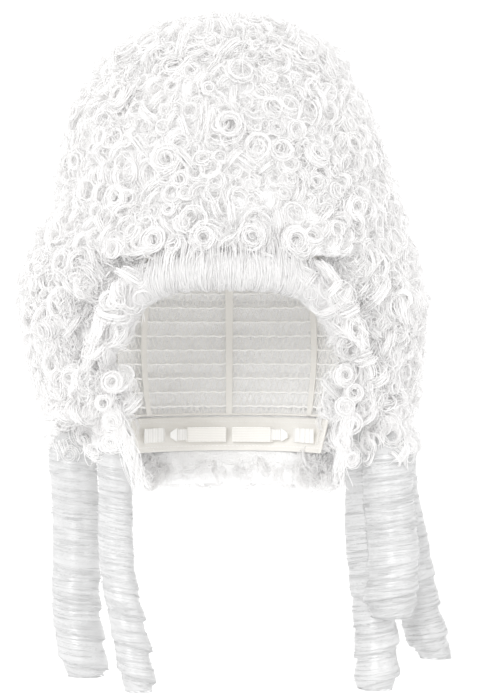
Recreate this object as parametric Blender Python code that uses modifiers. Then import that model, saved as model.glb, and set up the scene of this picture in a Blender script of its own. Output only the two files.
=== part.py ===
"""A tall powdered-court costume wig: a tower of small curls over a wire-and-net form, on a stretch cap,
with six sausage ringlets hanging at the sides. Metres, +Z up. The wearer looks along -Y, and +X is the
wearer's left. The origin is the middle of the crown pad's flat underside, where the top of the head bears."""

import math

import bmesh
import bpy
from mathutils import Matrix, Vector

# Head and cap. Levels are heights; azimuth 0 is the forehead, +90 degrees the wearer's left, 180 the nape.
HEAD_HALF_WIDTH = 0.076
HEAD_HALF_LENGTH = 0.096
HEAD_WIDEST = -0.085
CAP_TOP = 0.0105
DOME_POWER = 2.2
NAPE_TAPER = 0.14
NAPE_DROP = 0.065
CAP_THICKNESS = 0.0012

# Curl tower: its widest ring, its top, and how the width and the length shrink on the way up.
TOWER_WIDEST = -0.060
TOWER_TOP = 0.115
TOWER_HALF_WIDTH = 0.121
TOWER_HALF_LENGTH = 0.119
TOWER_BACK_SHIFT = 0.005
WIDTH_TAPER = 0.40
LENGTH_TAPER = 0.38
TOWER_ROUNDING = 6
SIDE_SLOPE = 0.12
RIGHT_FULLNESS = [
    (-0.110, 0.002),
    (-0.085, 0.005),
    (-0.060, 0.008),
    (-0.042, 0.010),
    (-0.024, 0.006),
    (-0.006, 0.002),
    (0.014, 0.004),
    (0.035, 0.007),
    (0.060, 0.012),
    (0.078, 0.012),
    (0.095, 0.006),
    (0.115, 0.0),
]

# Net form inside the tower, and the wire that holds it up.
NET_BASE = -0.032
NET_TOP = 0.081
NET_HALF_WIDTH = 0.0770
NET_HALF_LENGTH = 0.0960
NET_TAPER = 0.15
NET_LENGTH_TAPER = 0.25
NET_ROUNDING = 4
NET_THICKNESS = 0.0008
WIRE_RADIUS = 0.0012
WIRE_GAP = 0.0012
HOOP_LEVELS = {"base": -0.0285, "lower": -0.004, "upper": 0.020, "top": 0.044}
RIB_COUNT = 6
RIB_LOW = -0.026
RIB_HIGH = 0.042

# Rows of curls, each a weft sewn round the form or the cap.
ROW_PITCH = 0.023
ROW_HEIGHT = 0.022
ROW_GAP = 0.0012
ROW_SEGMENTS = 28
ROW_SIDES = 8
CURL_BUMP = 0.05
BUMPS_ROUND = 16
TOWER_ROW_LEVELS = [-0.022 + ROW_PITCH * i for i in range(5)]
HEAD_ROWS = {
    "head_curls_upper": (-0.045, 46),
    "head_curls_middle": (-0.068, 54),
    "head_curls_lower": (-0.091, 57),
    "side_curls": (-0.114, 48),
    "back_curls": (-0.137, 125),
    "nape_curls": (-0.160, 135),
}
CROWN_CURLS_BASE = 0.083

# Hairline pieces.
FRONT_ROLL_RADIUS = 0.0095
FRONT_ROLL_LEVEL = -0.0445
FRONT_ROLL_HALF_ANGLE = 44
FRONT_ROLL_ARCH = 0.0315
TEMPLE_CURL_RADIUS = 0.006
TEMPLE_CURL_PLACE = (0.067, -0.079)
TEMPLE_CURL_SWAY = 0.002
TEMPLE_CURL_LEVELS = (-0.106, -0.156)

# Cap pieces.
FRONT_BAND = (-0.052, -0.036, 44)
EAR_TAB = (-0.112, -0.0765, 53, 75)
EAR_TAPE = (-0.101, -0.0965, 84, 112)
NAPE_BAND = (-0.152, -0.131, 120)
CAP_EDGE = [(45, -0.0345), (52.5, -0.075), (75, -0.075), (82.5, -0.095), (112.5, -0.095), (120, -0.1295)]
STAY_WIDTH = 0.003
STAY_THICKNESS = 0.0006
PAD_RADIUS = 0.026
PAD_THICKNESS = 0.0045
PAD_CROWN = 0.003
COMB_TEETH = 9
COMB_PITCH = 0.0038
COMB_TOOTH = (0.0016, 0.015)
COMB_SPINE = 0.004
COMB_THICKNESS = 0.0012
COMB_INSET = 0.0018
COMB_PLACES = {"front": (0, -0.050), "left": (98, -0.090), "right": (-98, -0.090)}

# Nape adjusters: straps and hooks that travel round a vertical axis inside the nape band.
NAPE_CENTRE_Y = 0.0248
STRAP_RADIUS = 0.0545
STRAP_THICKNESS = 0.0009
STRAP_LEVELS = (-0.145, -0.138)
STRAP_ANGLES = (10, 37)
CASING_ANGLES = (2, 30)
CASING_WALL = 0.0007
CASING_ROOM = 0.0006
HOOK_ANGLES = (37.6, 43)
POCKET_ANGLES = (46, 68)
POCKETS = 4
POCKET_RISE = 0.0010

# Ringlets: top of the hanging axis (x, y), radius, lowest point, and how far sideways the low end lies: lean
# grows evenly on the way down, flick only near the end.
RINGLET_PIVOT = -0.131
RINGLETS = {
    "right_front": {"top": (-0.0666, -0.060), "radius": 0.0098, "low": -0.283, "lean": 0.006, "flick": 0.010},
    "right_middle": {"top": (-0.0920, -0.009), "radius": 0.0140, "low": -0.282, "lean": 0.0, "flick": 0.007},
    "right_rear": {"top": (-0.0930, 0.026), "radius": 0.0120, "low": -0.266, "lean": 0.002, "flick": 0.0},
    "left_front": {"top": (0.0928, -0.050), "radius": 0.0145, "low": -0.242, "lean": 0.002, "flick": 0.0},
    "left_middle": {"top": (0.0795, -0.021), "radius": 0.0125, "low": -0.288, "lean": 0.008, "flick": 0.0},
    "left_rear": {"top": (0.1010, 0.026), "radius": 0.0128, "low": -0.276, "lean": 0.011, "flick": 0.015},
}
RINGLET_NECK = 0.0035
RINGLET_SHOULDER = 0.024
RINGLET_TIP = 0.026
TIP_SHARE = 0.62
TIE_RADIUS = 0.0028
TIE_TOP = -0.1256

MATERIALS = {
    "hair": ((0.90, 0.89, 0.87), 0.42, 0.0),
    "net": ((0.86, 0.83, 0.77), 0.85, 0.0),
    "cotton": ((0.88, 0.85, 0.79), 0.90, 0.0),
    "elastic": ((0.90, 0.89, 0.86), 0.75, 0.0),
    "plastic": ((0.86, 0.85, 0.82), 0.35, 0.0),
    "foam": ((0.91, 0.88, 0.80), 0.95, 0.0),
    "wire": ((0.72, 0.72, 0.74), 0.35, 1.0),
}


def clear_scene():
    for obj in list(bpy.data.objects):
        bpy.data.objects.remove(obj)


def make_material(name):
    colour, roughness, metallic = MATERIALS[name]
    material = bpy.data.materials.get(name) or bpy.data.materials.new(name)
    material.use_nodes = True
    surface = material.node_tree.nodes["Principled BSDF"]
    surface.inputs["Base Color"].default_value = (*colour, 1)
    surface.inputs["Roughness"].default_value = roughness
    surface.inputs["Metallic"].default_value = metallic
    return material


def wig_collection():
    found = bpy.data.collections.get("costume_wig")
    if found is None:
        found = bpy.data.collections.new("costume_wig")
        bpy.context.scene.collection.children.link(found)
    return found


def add_object(name, data, material, origin=(0, 0, 0), parent=None):
    """Links data as a named object. Its points are in the world, and the object's origin is put at origin."""
    data.transform(Matrix.Translation(-Vector(origin)))
    obj = bpy.data.objects.new(name, data)
    obj.location = origin
    if parent is not None:
        obj.parent = parent
        obj.location = Vector(origin) - parent.location
    obj.data.materials.append(make_material(material))
    wig_collection().objects.link(obj)
    if obj.type == "MESH":
        data.shade_smooth()
        data.set_sharp_from_angle(angle=math.radians(40))
    return obj


def add_empty(name, origin):
    empty = bpy.data.objects.new(name, None)
    empty.location = origin
    wig_collection().objects.link(empty)
    return empty


def mesh_from(bm, name):
    bmesh.ops.recalc_face_normals(bm, faces=bm.faces)
    mesh = bpy.data.meshes.new(name)
    bm.to_mesh(mesh)
    bm.free()
    return mesh


def between(a, b, share):
    return a + (b - a) * share


def follow(points, position):
    """The height of a line through (position, height) points, level past its ends."""
    if position <= points[0][0]:
        return points[0][1]
    for (x0, y0), (x1, y1) in zip(points, points[1:]):
        if position <= x1:
            return between(y0, y1, (position - x0) / (x1 - x0))
    return points[-1][1]


# ---- The three surfaces that everything sits on ----


def head_point(azimuth, level, offset=0.0):
    """A point on the head, or offset outside it, at an azimuth in radians."""
    if level >= HEAD_WIDEST:
        rise = min((level - HEAD_WIDEST) / (CAP_TOP + offset - HEAD_WIDEST), 1)
        share = (1 - rise**DOME_POWER) ** (1 / DOME_POWER)
    else:
        share = 1 - NAPE_TAPER * ((HEAD_WIDEST - level) / NAPE_DROP) ** 2
    return Vector(
        (
            (HEAD_HALF_WIDTH + offset) * share * math.sin(azimuth),
            -(HEAD_HALF_LENGTH + offset) * share * math.cos(azimuth),
            level,
        )
    )


def net_point(azimuth, level, offset=0.0):
    """A point on the outside of the net form, or offset outside it."""
    rise = min(max((level - NET_BASE) / (NET_TOP - NET_BASE), 0), 1)
    dome = math.sqrt(1 - rise**NET_ROUNDING)
    half_width = NET_HALF_WIDTH * (1 - NET_TAPER * rise) * dome + offset
    half_length = NET_HALF_LENGTH * (1 - NET_LENGTH_TAPER * rise) * dome + offset
    return Vector((half_width * math.sin(azimuth), -half_length * math.cos(azimuth), level))


def tower_point(azimuth, level):
    """A point on the outer surface of the curls, which stand out further on the wearer's right."""
    dome = 1
    if level >= TOWER_WIDEST:
        rise = min((level - TOWER_WIDEST) / (TOWER_TOP - TOWER_WIDEST), 1)
        dome = math.sqrt(1 - rise**TOWER_ROUNDING)
        half_width = TOWER_HALF_WIDTH * (1 - WIDTH_TAPER * rise) * dome
        half_length = TOWER_HALF_LENGTH * (1 - LENGTH_TAPER * rise) * dome
    else:
        half_width = TOWER_HALF_WIDTH - SIDE_SLOPE * (TOWER_WIDEST - level)
        half_length = TOWER_HALF_LENGTH - SIDE_SLOPE * (TOWER_WIDEST - level)
    fullness = follow(RIGHT_FULLNESS, level) * dome * max(0, -math.sin(azimuth)) ** 2
    return Vector(
        (
            half_width * math.sin(azimuth) - fullness,
            TOWER_BACK_SHIFT - half_length * math.cos(azimuth),
            level,
        )
    )


def under_curls(azimuth, level):
    """Where the inside of a row of curls lies: on the net form, or on the cap below it."""
    if level > NET_BASE - 2 * ROW_GAP:
        return net_point(azimuth, level, ROW_GAP)
    return head_point(azimuth, level, CAP_THICKNESS + ROW_GAP)


def nape_point(angle, level, radius):
    """A point on the arc that the adjusters travel on. Angle 0 is the middle of the nape, positive is +X."""
    return Vector((radius * math.sin(angle), NAPE_CENTRE_Y + radius * math.cos(angle), level))


# ---- Sheets and rows ----


def sheet(place, columns, rows):
    """A grid mesh of the points place(u, v), u and v from 0 to 1, facing away from the middle of the head."""
    bm = bmesh.new()
    bmesh.ops.create_grid(bm, x_segments=columns, y_segments=rows, size=1)
    for vert in bm.verts:
        vert.co = place((vert.co.x + 1) / 2, (vert.co.y + 1) / 2)
    bmesh.ops.remove_doubles(bm, verts=bm.verts, dist=0.00001)
    bm.normal_update()
    middle = Vector((0, 0, HEAD_WIDEST))
    outward = [face.calc_area() * face.normal.dot(face.calc_center_median() - middle) for face in bm.faces]
    if sum(outward) < 0:
        bmesh.ops.reverse_faces(bm, faces=bm.faces)
    mesh = bpy.data.meshes.new("sheet")
    bm.to_mesh(mesh)
    bm.free()
    return mesh


def thicken(obj, thickness, outward=True):
    solid = obj.modifiers.new("thickness", "SOLIDIFY")
    solid.thickness = thickness
    solid.offset = 1 if outward else -1
    solid.use_even_offset = True
    return obj


def head_patch(name, material, low, high, start, end, columns, rows, offset=0.0, origin=(0, 0, 0)):
    """A strip of cap fabric on the head between two levels and two azimuths in degrees."""

    def place(u, v):
        return head_point(math.radians(between(start, end, u)), between(low, high, v), offset)

    return thicken(add_object(name, sheet(place, columns, rows), material, origin), CAP_THICKNESS)


def torus_mesh(segments, sides):
    bpy.ops.mesh.primitive_torus_add(
        major_segments=segments, minor_segments=sides, major_radius=1.0, minor_radius=0.25
    )
    torus = bpy.context.object
    mesh = torus.data
    bpy.data.objects.remove(torus)
    return mesh


def squared(value, power=0.75):
    """A sine or cosine pushed towards the corners, so that a round section fills its box."""
    return math.copysign(abs(value) ** power, value)


def curl_row(name, level, open_degrees=0):
    """A soft row of curls round the wig. With open_degrees it stops that far each side of the forehead."""
    bm = bmesh.new()
    bm.from_mesh(torus_mesh(ROW_SEGMENTS, ROW_SIDES))
    step = 2 * math.pi / ROW_SEGMENTS
    if open_degrees:
        front = [face for face in bm.faces if abs(azimuth_of(face.calc_center_median())) < step]
        bmesh.ops.delete(bm, geom=front, context="FACES")
        bmesh.ops.holes_fill(bm, edges=bm.edges, sides=0)
    for vert in bm.verts:
        azimuth = azimuth_of(vert.co)
        section = math.atan2(vert.co.z, math.hypot(vert.co.x, vert.co.y) - 1)
        fullness = 1.0
        if open_degrees:
            share = (azimuth % (2 * math.pi) - step) / (2 * math.pi - 2 * step)
            edge = math.radians(open_degrees)
            azimuth = between(edge, 2 * math.pi - edge, share)
            fullness = min(1.0, 0.6 + 8 * min(share, 1 - share))
        height = level + ROW_HEIGHT / 2 * fullness * squared(math.sin(section))
        inner, outer = under_curls(azimuth, height), tower_point(azimuth, height)
        bump = 1 - CURL_BUMP * (1 + math.cos(BUMPS_ROUND * azimuth)) * (math.cos(section) > 0)
        vert.co = inner.lerp(outer, 0.5 + 0.5 * fullness * bump * squared(math.cos(section)))
    return add_object(name, mesh_from(bm, name), "hair")


def azimuth_of(point):
    return math.atan2(point.x, -point.y)


def crown_curls():
    """The cluster of curls that closes the top of the tower, flat underneath where it sits on the form."""
    bpy.ops.mesh.primitive_uv_sphere_add(segments=24, ring_count=14, radius=1)
    sphere = bpy.context.object
    bm = bmesh.new()
    bm.from_mesh(sphere.data)
    bpy.data.objects.remove(sphere)
    for vert in bm.verts:
        azimuth = azimuth_of(vert.co)
        if vert.co.z >= 0:
            level = between(CROWN_CURLS_BASE, TOWER_TOP, vert.co.z)
            vert.co = tower_point(azimuth, level)
        else:
            reach = math.hypot(vert.co.x, vert.co.y)
            middle = Vector((0, TOWER_BACK_SHIFT, CROWN_CURLS_BASE))
            vert.co = middle.lerp(tower_point(azimuth, CROWN_CURLS_BASE), reach)
    bmesh.ops.remove_doubles(bm, verts=bm.verts, dist=0.00001)
    return add_object("crown_curls", mesh_from(bm, "crown_curls"), "hair")


def tube(name, material, points, radii, sides=8, origin=(0, 0, 0), closed=False, parent=None):
    """A round wire or lock through points, with its own radius at each point and filled ends."""
    curve = bpy.data.curves.new(name, "CURVE")
    curve.dimensions = "3D"
    curve.bevel_depth = 1.0
    curve.bevel_resolution = sides // 2 - 2
    curve.use_fill_caps = not closed
    spline = curve.splines.new("POLY")
    spline.points.add(len(points) - 1)
    for target, point, radius in zip(spline.points, points, radii):
        target.co = (*point, 1)
        target.radius = radius
    spline.use_cyclic_u = closed
    return add_object(name, curve, material, origin, parent)


# ---- Net form and wire ----


def net_form():
    def place(u, v):
        level = NET_TOP - (NET_TOP - NET_BASE) * v**1.5
        return net_point(2 * math.pi * u, level)

    form = add_object("tower_net", sheet(place, 32, 8), "net")
    thicken(form, NET_THICKNESS, outward=False)


def wire_frame():
    steps = 32
    hoop_inset = NET_THICKNESS + WIRE_RADIUS + WIRE_GAP
    for name, level in HOOP_LEVELS.items():
        points = [net_point(2 * math.pi * i / steps, level, -hoop_inset) for i in range(steps)]
        tube(f"hoop_{name}", "wire", points, [WIRE_RADIUS] * steps, 6, closed=True)
    rib_inset = hoop_inset + 2 * WIRE_RADIUS + WIRE_GAP
    rib_steps = 8
    for rib in range(RIB_COUNT):
        azimuth = 2 * math.pi * (rib + 0.5) / RIB_COUNT
        levels = [between(RIB_LOW, RIB_HIGH, i / rib_steps) for i in range(rib_steps + 1)]
        points = [net_point(azimuth, level, -rib_inset) for level in levels]
        tube(f"rib_{rib + 1}", "wire", points, [WIRE_RADIUS] * len(points), 6)


# ---- Cap ----


def cap_net():
    def place(u, v):
        azimuth = between(-180, 180, u)
        edge = follow(CAP_EDGE, abs(azimuth))
        return head_point(math.radians(azimuth), CAP_TOP + (edge - CAP_TOP) * v**1.6)

    thicken(add_object("cap_net", sheet(place, 48, 8), "net"), CAP_THICKNESS)


def cap_bands():
    low, high, half_angle = FRONT_BAND
    head_patch("front_band", "cotton", low, high, -half_angle, half_angle, 16, 2)
    low, high, start = NAPE_BAND
    head_patch("nape_band", "cotton", low, high, start, 360 - start, 20, 2)
    for side, sign in (("left", 1), ("right", -1)):
        low, high, start, end = EAR_TAPE
        head_patch(f"ear_tape_{side}", "elastic", low, high, sign * start, sign * end, 6, 1)
        ear_tab(side, sign)


def ear_tab(side, sign):
    """The tab in front of the ear, and the springy stay sewn inside it. Both hinge at the tab's top edge."""
    low, high, start, end = EAR_TAB
    middle = math.radians(sign * (start + end) / 2)
    hinge = head_point(middle, high)

    def place(u, v):
        reach = between(start + 5 * (1 - v), end - 5 * (1 - v), u)
        return head_point(math.radians(sign * reach), between(low, high, v))

    thicken(add_object(f"ear_tab_{side}", sheet(place, 6, 4), "cotton", hinge), CAP_THICKNESS)
    half_turn = STAY_WIDTH / 2 / HEAD_HALF_LENGTH

    def place_stay(u, v):
        level = between(low + 0.004, high - 0.003, v)
        return head_point(middle + between(-half_turn, half_turn, u), level, -0.0004)

    stay = add_object(f"ear_tab_stay_{side}", sheet(place_stay, 1, 5), "wire", hinge)
    thicken(stay, STAY_THICKNESS, outward=False)


def crown_pad():
    """The soft disc between the head and the cap: flat underneath and raised in the middle."""
    bm = bmesh.new()
    bmesh.ops.create_cone(
        bm, segments=32, radius1=PAD_RADIUS, radius2=PAD_RADIUS, depth=PAD_THICKNESS, cap_ends=True
    )
    bmesh.ops.translate(bm, verts=bm.verts, vec=(0, 0, PAD_THICKNESS / 2))
    top = [face for face in bm.faces if face.normal.z > 0.5]
    bmesh.ops.inset_region(bm, faces=top, thickness=PAD_RADIUS / 2, depth=PAD_CROWN)
    add_object("crown_pad", mesh_from(bm, "crown_pad"), "foam")


def comb_outline():
    """The outline of a flat comb, its spine along x and its teeth up, in metres from the spine's middle."""
    width, length = COMB_TOOTH
    half = COMB_PITCH * (COMB_TEETH - 1) / 2
    points = [(half + width, 0), (half + width, COMB_SPINE)]
    for tooth in reversed(range(COMB_TEETH)):
        x = COMB_PITCH * tooth - half
        points += [
            (x + width / 2, COMB_SPINE),
            (x + width / 4, COMB_SPINE + length),
            (x - width / 4, COMB_SPINE + length),
            (x - width / 2, COMB_SPINE),
        ]
    points += [(-half - width, COMB_SPINE), (-half - width, 0)]
    return points


def comb(place, azimuth_degrees, level):
    """A flat comb bent to the head, sewn inside the cap with its teeth pointing up."""
    curve = bpy.data.curves.new("comb_outline", "CURVE")
    curve.dimensions = "2D"
    curve.fill_mode = "BOTH"
    curve.extrude = COMB_THICKNESS / 2
    spline = curve.splines.new("POLY")
    outline = comb_outline()
    spline.points.add(len(outline) - 1)
    for target, (x, y) in zip(spline.points, outline):
        target.co = (x, y, 0, 1)
    spline.use_cyclic_u = True
    flat = bpy.data.objects.new("comb_outline", curve)
    wig_collection().objects.link(flat)
    bpy.context.view_layer.update()
    evaluated = flat.evaluated_get(bpy.context.evaluated_depsgraph_get())
    mesh = bpy.data.meshes.new_from_object(evaluated)
    bpy.data.objects.remove(flat)
    bm = bmesh.new()
    bm.from_mesh(mesh)
    bmesh.ops.remove_doubles(bm, verts=bm.verts, dist=0.00001)
    for vert in bm.verts:
        azimuth = math.radians(azimuth_degrees) + vert.co.x / HEAD_HALF_WIDTH
        inset = -COMB_INSET - COMB_THICKNESS / 2 + vert.co.z
        vert.co = head_point(azimuth, level + vert.co.y, inset)
    add_object(f"comb_{place}", mesh_from(bm, "comb"), "plastic")


# ---- Nape adjusters ----


def arc_sheet(angles, levels, radius, columns, rows=1, rise=None):
    """A sheet on the adjusters' arc. rise(u) brings it inwards."""
    start, end = (math.radians(angle) for angle in angles)

    def place(u, v):
        lift = rise(u) if rise else 0
        return nape_point(between(start, end, u), between(*levels, v), radius - lift)

    return sheet(place, columns, rows)


def casing_mesh(sign):
    """A flat sleeve on the arc, open at both ends, for the strap to slide in."""
    low, high = STRAP_LEVELS
    room = CASING_ROOM
    ring = [
        (STRAP_RADIUS - STRAP_THICKNESS - room, low - room),
        (STRAP_RADIUS + room, low - room),
        (STRAP_RADIUS + room, high + room),
        (STRAP_RADIUS - STRAP_THICKNESS - room, high + room),
    ]
    start, end = (math.radians(sign * angle) for angle in CASING_ANGLES)
    columns = 6

    bm = bmesh.new()
    bmesh.ops.create_cone(bm, segments=4, radius1=1, radius2=1, depth=2, cap_ends=False)
    sides = [edge for edge in bm.edges if abs(edge.verts[0].co.z - edge.verts[1].co.z) > 1]
    bmesh.ops.subdivide_edges(bm, edges=sides, cuts=columns - 1, use_grid_fill=True)
    for vert in bm.verts:
        corner = round(math.atan2(vert.co.y, vert.co.x) / (math.pi / 2)) % 4
        radius, level = ring[corner]
        vert.co = nape_point(between(start, end, (vert.co.z + 1) / 2), level, radius)
    bmesh.ops.recalc_face_normals(bm, faces=bm.faces)
    bm.normal_update()
    middle = nape_point((start + end) / 2, (low + high) / 2, STRAP_RADIUS)
    if sum(face.normal.dot(face.calc_center_median() - middle) for face in bm.faces) < 0:
        bmesh.ops.reverse_faces(bm, faces=bm.faces)
    mesh = bpy.data.meshes.new("casing")
    bm.to_mesh(mesh)
    bm.free()
    return mesh


def hook_mesh(sign):
    """A flat hook on the strap's end: a plate whose tongue narrows towards the pockets."""
    start, end = (math.radians(sign * angle) for angle in HOOK_ANGLES)
    middle = sum(STRAP_LEVELS) / 2

    def place(u, v):
        half_height = between(0.0042, 0.0016, u)
        level = middle + between(-half_height, half_height, v)
        return nape_point(between(start, end, u), level, STRAP_RADIUS)

    return sheet(place, 3, 1)


def adjusters():
    axis = (0, NAPE_CENTRE_Y, sum(STRAP_LEVELS) / 2)
    pivot = add_empty("nape_adjuster_axis", axis)
    for side, sign in (("left", 1), ("right", -1)):
        strap_angles = [sign * angle for angle in STRAP_ANGLES]
        band = arc_sheet(strap_angles, STRAP_LEVELS, STRAP_RADIUS, 7)
        strap = add_object(f"adjuster_strap_{side}", band, "elastic", axis, pivot)
        thicken(strap, STRAP_THICKNESS, outward=False)
        hook = add_object(f"adjuster_hook_{side}", hook_mesh(sign), "plastic", axis, pivot)
        thicken(hook, STRAP_THICKNESS, outward=False)
        casing = add_object(f"adjuster_casing_{side}", casing_mesh(sign), "cotton")
        thicken(casing, CASING_WALL)

        def rise(u):
            return POCKET_RISE * math.sin(math.pi * POCKETS * u) ** 2

        levels = (STRAP_LEVELS[0] - 0.001, STRAP_LEVELS[1] + 0.001)
        pocket_angles = [sign * angle for angle in POCKET_ANGLES]
        pockets = arc_sheet(pocket_angles, levels, STRAP_RADIUS + 0.0024, POCKETS * 4, rise=rise)
        thicken(add_object(f"adjuster_pockets_{side}", pockets, "elastic"), 0.0006, outward=False)


# ---- Hair ----


def front_roll():
    """The smooth roll of hair that arches over the forehead along the cap's edge."""
    steps = 24
    half = math.radians(FRONT_ROLL_HALF_ANGLE)
    azimuths = [between(-half, half, i / steps) for i in range(steps + 1)]
    levels = [FRONT_ROLL_LEVEL - FRONT_ROLL_ARCH * (azimuth / half) ** 4 for azimuth in azimuths]
    offset = CAP_THICKNESS + ROW_GAP + FRONT_ROLL_RADIUS
    points = [head_point(azimuth, level, offset) for azimuth, level in zip(azimuths, levels)]
    radii = [FRONT_ROLL_RADIUS * min(1, 0.55 + 4 * min(i, steps - i) / steps) for i in range(steps + 1)]
    tube("front_roll", "hair", points, radii, 10)


def temple_curls():
    """The loose little curls that fall beside the eyes."""
    steps = 8
    for side, sign in (("left", 1), ("right", -1)):
        points = []
        radii = []
        for i in range(steps + 1):
            x = TEMPLE_CURL_PLACE[0] + TEMPLE_CURL_SWAY * math.sin(4 * math.pi * i / steps)
            points.append(Vector((sign * x, TEMPLE_CURL_PLACE[1], between(*TEMPLE_CURL_LEVELS, i / steps))))
            radii.append(TEMPLE_CURL_RADIUS * (0.55 + 0.45 * math.sin(math.pi * i / steps)))
        tube(f"temple_curls_{side}", "hair", points, radii, 8)


def ringlet_radius(spec, drop, length):
    """The lock widens from its tied neck over the shoulder, and thins again at the tip."""
    shoulder = min(1, drop / RINGLET_SHOULDER)
    body = between(RINGLET_NECK, spec["radius"], math.sin(shoulder * math.pi / 2))
    tip = min(1, (length - drop) / RINGLET_TIP)
    return body * between(TIP_SHARE, 1, math.sin(tip * math.pi / 2))


def ringlets():
    """Six sausage curls. Each hangs from a bound tie at the cap's edge, and its origin is where it swings."""
    steps = 14
    for name, spec in RINGLETS.items():
        x, y = spec["top"]
        pivot = Vector((x, y, RINGLET_PIVOT))
        start = RINGLET_PIVOT - RINGLET_NECK
        length = start - spec["low"]
        drops = [length * (i / steps) ** 1.25 for i in range(steps + 1)]
        shares = [drop / length for drop in drops]
        sways = [spec["lean"] * share + spec["flick"] * share**3 for share in shares]
        points = [Vector((x + sway, y, start - drop)) for sway, drop in zip(sways, drops)]
        radii = [ringlet_radius(spec, drop, length) for drop in drops]
        tube(f"ringlet_{name}", "hair", points, radii, 16, pivot)
        tie(name, pivot)


def tie(name, pivot):
    """The thread-bound stalk that a ringlet hangs from: sewn in under the row above, knotted at its end."""
    rises = [-TIE_RADIUS, -TIE_RADIUS / 2, TIE_RADIUS / 2, TIE_RADIUS, TIE_TOP - RINGLET_PIVOT]
    widths = [0.5, 0.87, 0.87, 0.55, 0.6]
    points = [pivot + Vector((0, 0, rise)) for rise in rises]
    tube(f"ringlet_tie_{name}", "cotton", points, [TIE_RADIUS * width for width in widths], 8, pivot)


def main():
    clear_scene()
    net_form()
    wire_frame()
    cap_net()
    cap_bands()
    crown_pad()
    for place, (azimuth, level) in COMB_PLACES.items():
        comb(place, azimuth, level)
    adjusters()
    for number, level in enumerate(TOWER_ROW_LEVELS, 1):
        curl_row(f"tower_curls_{number}", level)
    for name, (level, open_degrees) in HEAD_ROWS.items():
        curl_row(name, level, open_degrees)
    crown_curls()
    front_roll()
    temple_curls()
    ringlets()


main()
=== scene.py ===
"""The looks of a tall white costume wig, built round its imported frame: hair, net, tapes, camera and light.
Azimuths are about the vertical axis, 0 at the forehead and +90 degrees at the wearer's left (+X)."""

import math

import bpy
import numpy as np
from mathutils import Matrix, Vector


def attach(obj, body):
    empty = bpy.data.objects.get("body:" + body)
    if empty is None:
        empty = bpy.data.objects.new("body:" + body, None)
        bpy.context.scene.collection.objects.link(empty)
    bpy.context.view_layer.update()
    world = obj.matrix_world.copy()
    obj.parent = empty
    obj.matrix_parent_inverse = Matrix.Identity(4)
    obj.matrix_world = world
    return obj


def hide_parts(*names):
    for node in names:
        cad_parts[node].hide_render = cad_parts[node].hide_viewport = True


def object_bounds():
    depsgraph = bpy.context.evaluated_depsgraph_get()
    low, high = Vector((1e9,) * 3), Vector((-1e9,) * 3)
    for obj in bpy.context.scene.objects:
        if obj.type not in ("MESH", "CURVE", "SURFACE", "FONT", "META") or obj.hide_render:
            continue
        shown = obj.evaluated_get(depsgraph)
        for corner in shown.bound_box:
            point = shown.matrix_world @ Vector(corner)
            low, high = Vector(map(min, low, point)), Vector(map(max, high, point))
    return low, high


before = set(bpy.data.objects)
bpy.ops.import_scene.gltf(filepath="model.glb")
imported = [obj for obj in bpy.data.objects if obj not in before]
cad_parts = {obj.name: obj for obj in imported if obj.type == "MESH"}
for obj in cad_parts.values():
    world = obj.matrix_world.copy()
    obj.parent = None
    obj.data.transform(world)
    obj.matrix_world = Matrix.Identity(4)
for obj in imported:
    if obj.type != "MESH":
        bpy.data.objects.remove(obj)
CAD_LOW, CAD_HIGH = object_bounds()

SEED = 11
SIDES = (("left", 1), ("right", -1))

# ---- Shapes shared with the frame ----
HEAD_HALF_WIDTH = 0.076
HEAD_HALF_LENGTH = 0.096
HEAD_WIDEST = -0.085
CAP_TOP = 0.0105
DOME_POWER = 2.2
NAPE_TAPER = 0.14
NAPE_DROP = 0.065
TOWER_WIDEST = -0.060
TOWER_TOP = 0.115
TOWER_HALF_WIDTH = 0.121
TOWER_HALF_LENGTH = 0.119
TOWER_BACK_SHIFT = 0.005
WIDTH_TAPER = 0.40
LENGTH_TAPER = 0.38
TOWER_ROUNDING = 6
SIDE_SLOPE = 0.12
# How far the wearer's right stands out beyond the left, by level.
FULLNESS_LEVELS = (-0.110, -0.085, -0.060, -0.042, -0.024, -0.006, 0.014, 0.035, 0.060, 0.078, 0.095, 0.115)
FULLNESS = (0.002, 0.005, 0.008, 0.010, 0.006, 0.002, 0.004, 0.007, 0.012, 0.012, 0.006, 0.0)
ROW_HEIGHT = 0.022
ROW_REACH = 0.0115
NET_BASE = -0.032
NET_TOP = 0.081
NET_HALF_WIDTH = 0.0770
NET_HALF_LENGTH = 0.0960
NET_TAPER = 0.15
NET_LENGTH_TAPER = 0.25
NET_ROUNDING = 4
UNDER_GAP = 0.0030
CAP_OVERLAP = 0.002

# Rows of curls: the node each stands for, its middle level, and the degrees it leaves open at the face.
ROWS = {f"tower_curls_{i + 1}": (-0.022 + 0.023 * i, 0) for i in range(5)}
ROWS |= {
    "crown_curls": (0.096, 0),
    "head_curls_upper": (-0.045, 46),
    "head_curls_middle": (-0.068, 54),
    "head_curls_lower": (-0.091, 57),
    "side_curls": (-0.114, 48),
    "back_curls": (-0.137, 125),
    "nape_curls": (-0.160, 135),
}

# The undersides that show: level, and azimuths in degrees.
UNDERSIDES = [(-0.125, 48, 128), (-0.171, 135, 180), (-0.125, -128, -48), (-0.171, -180, -135)]
# The share of the tower's rise at which the crown begins.
CROWN_SHARE = 0.80

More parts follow.
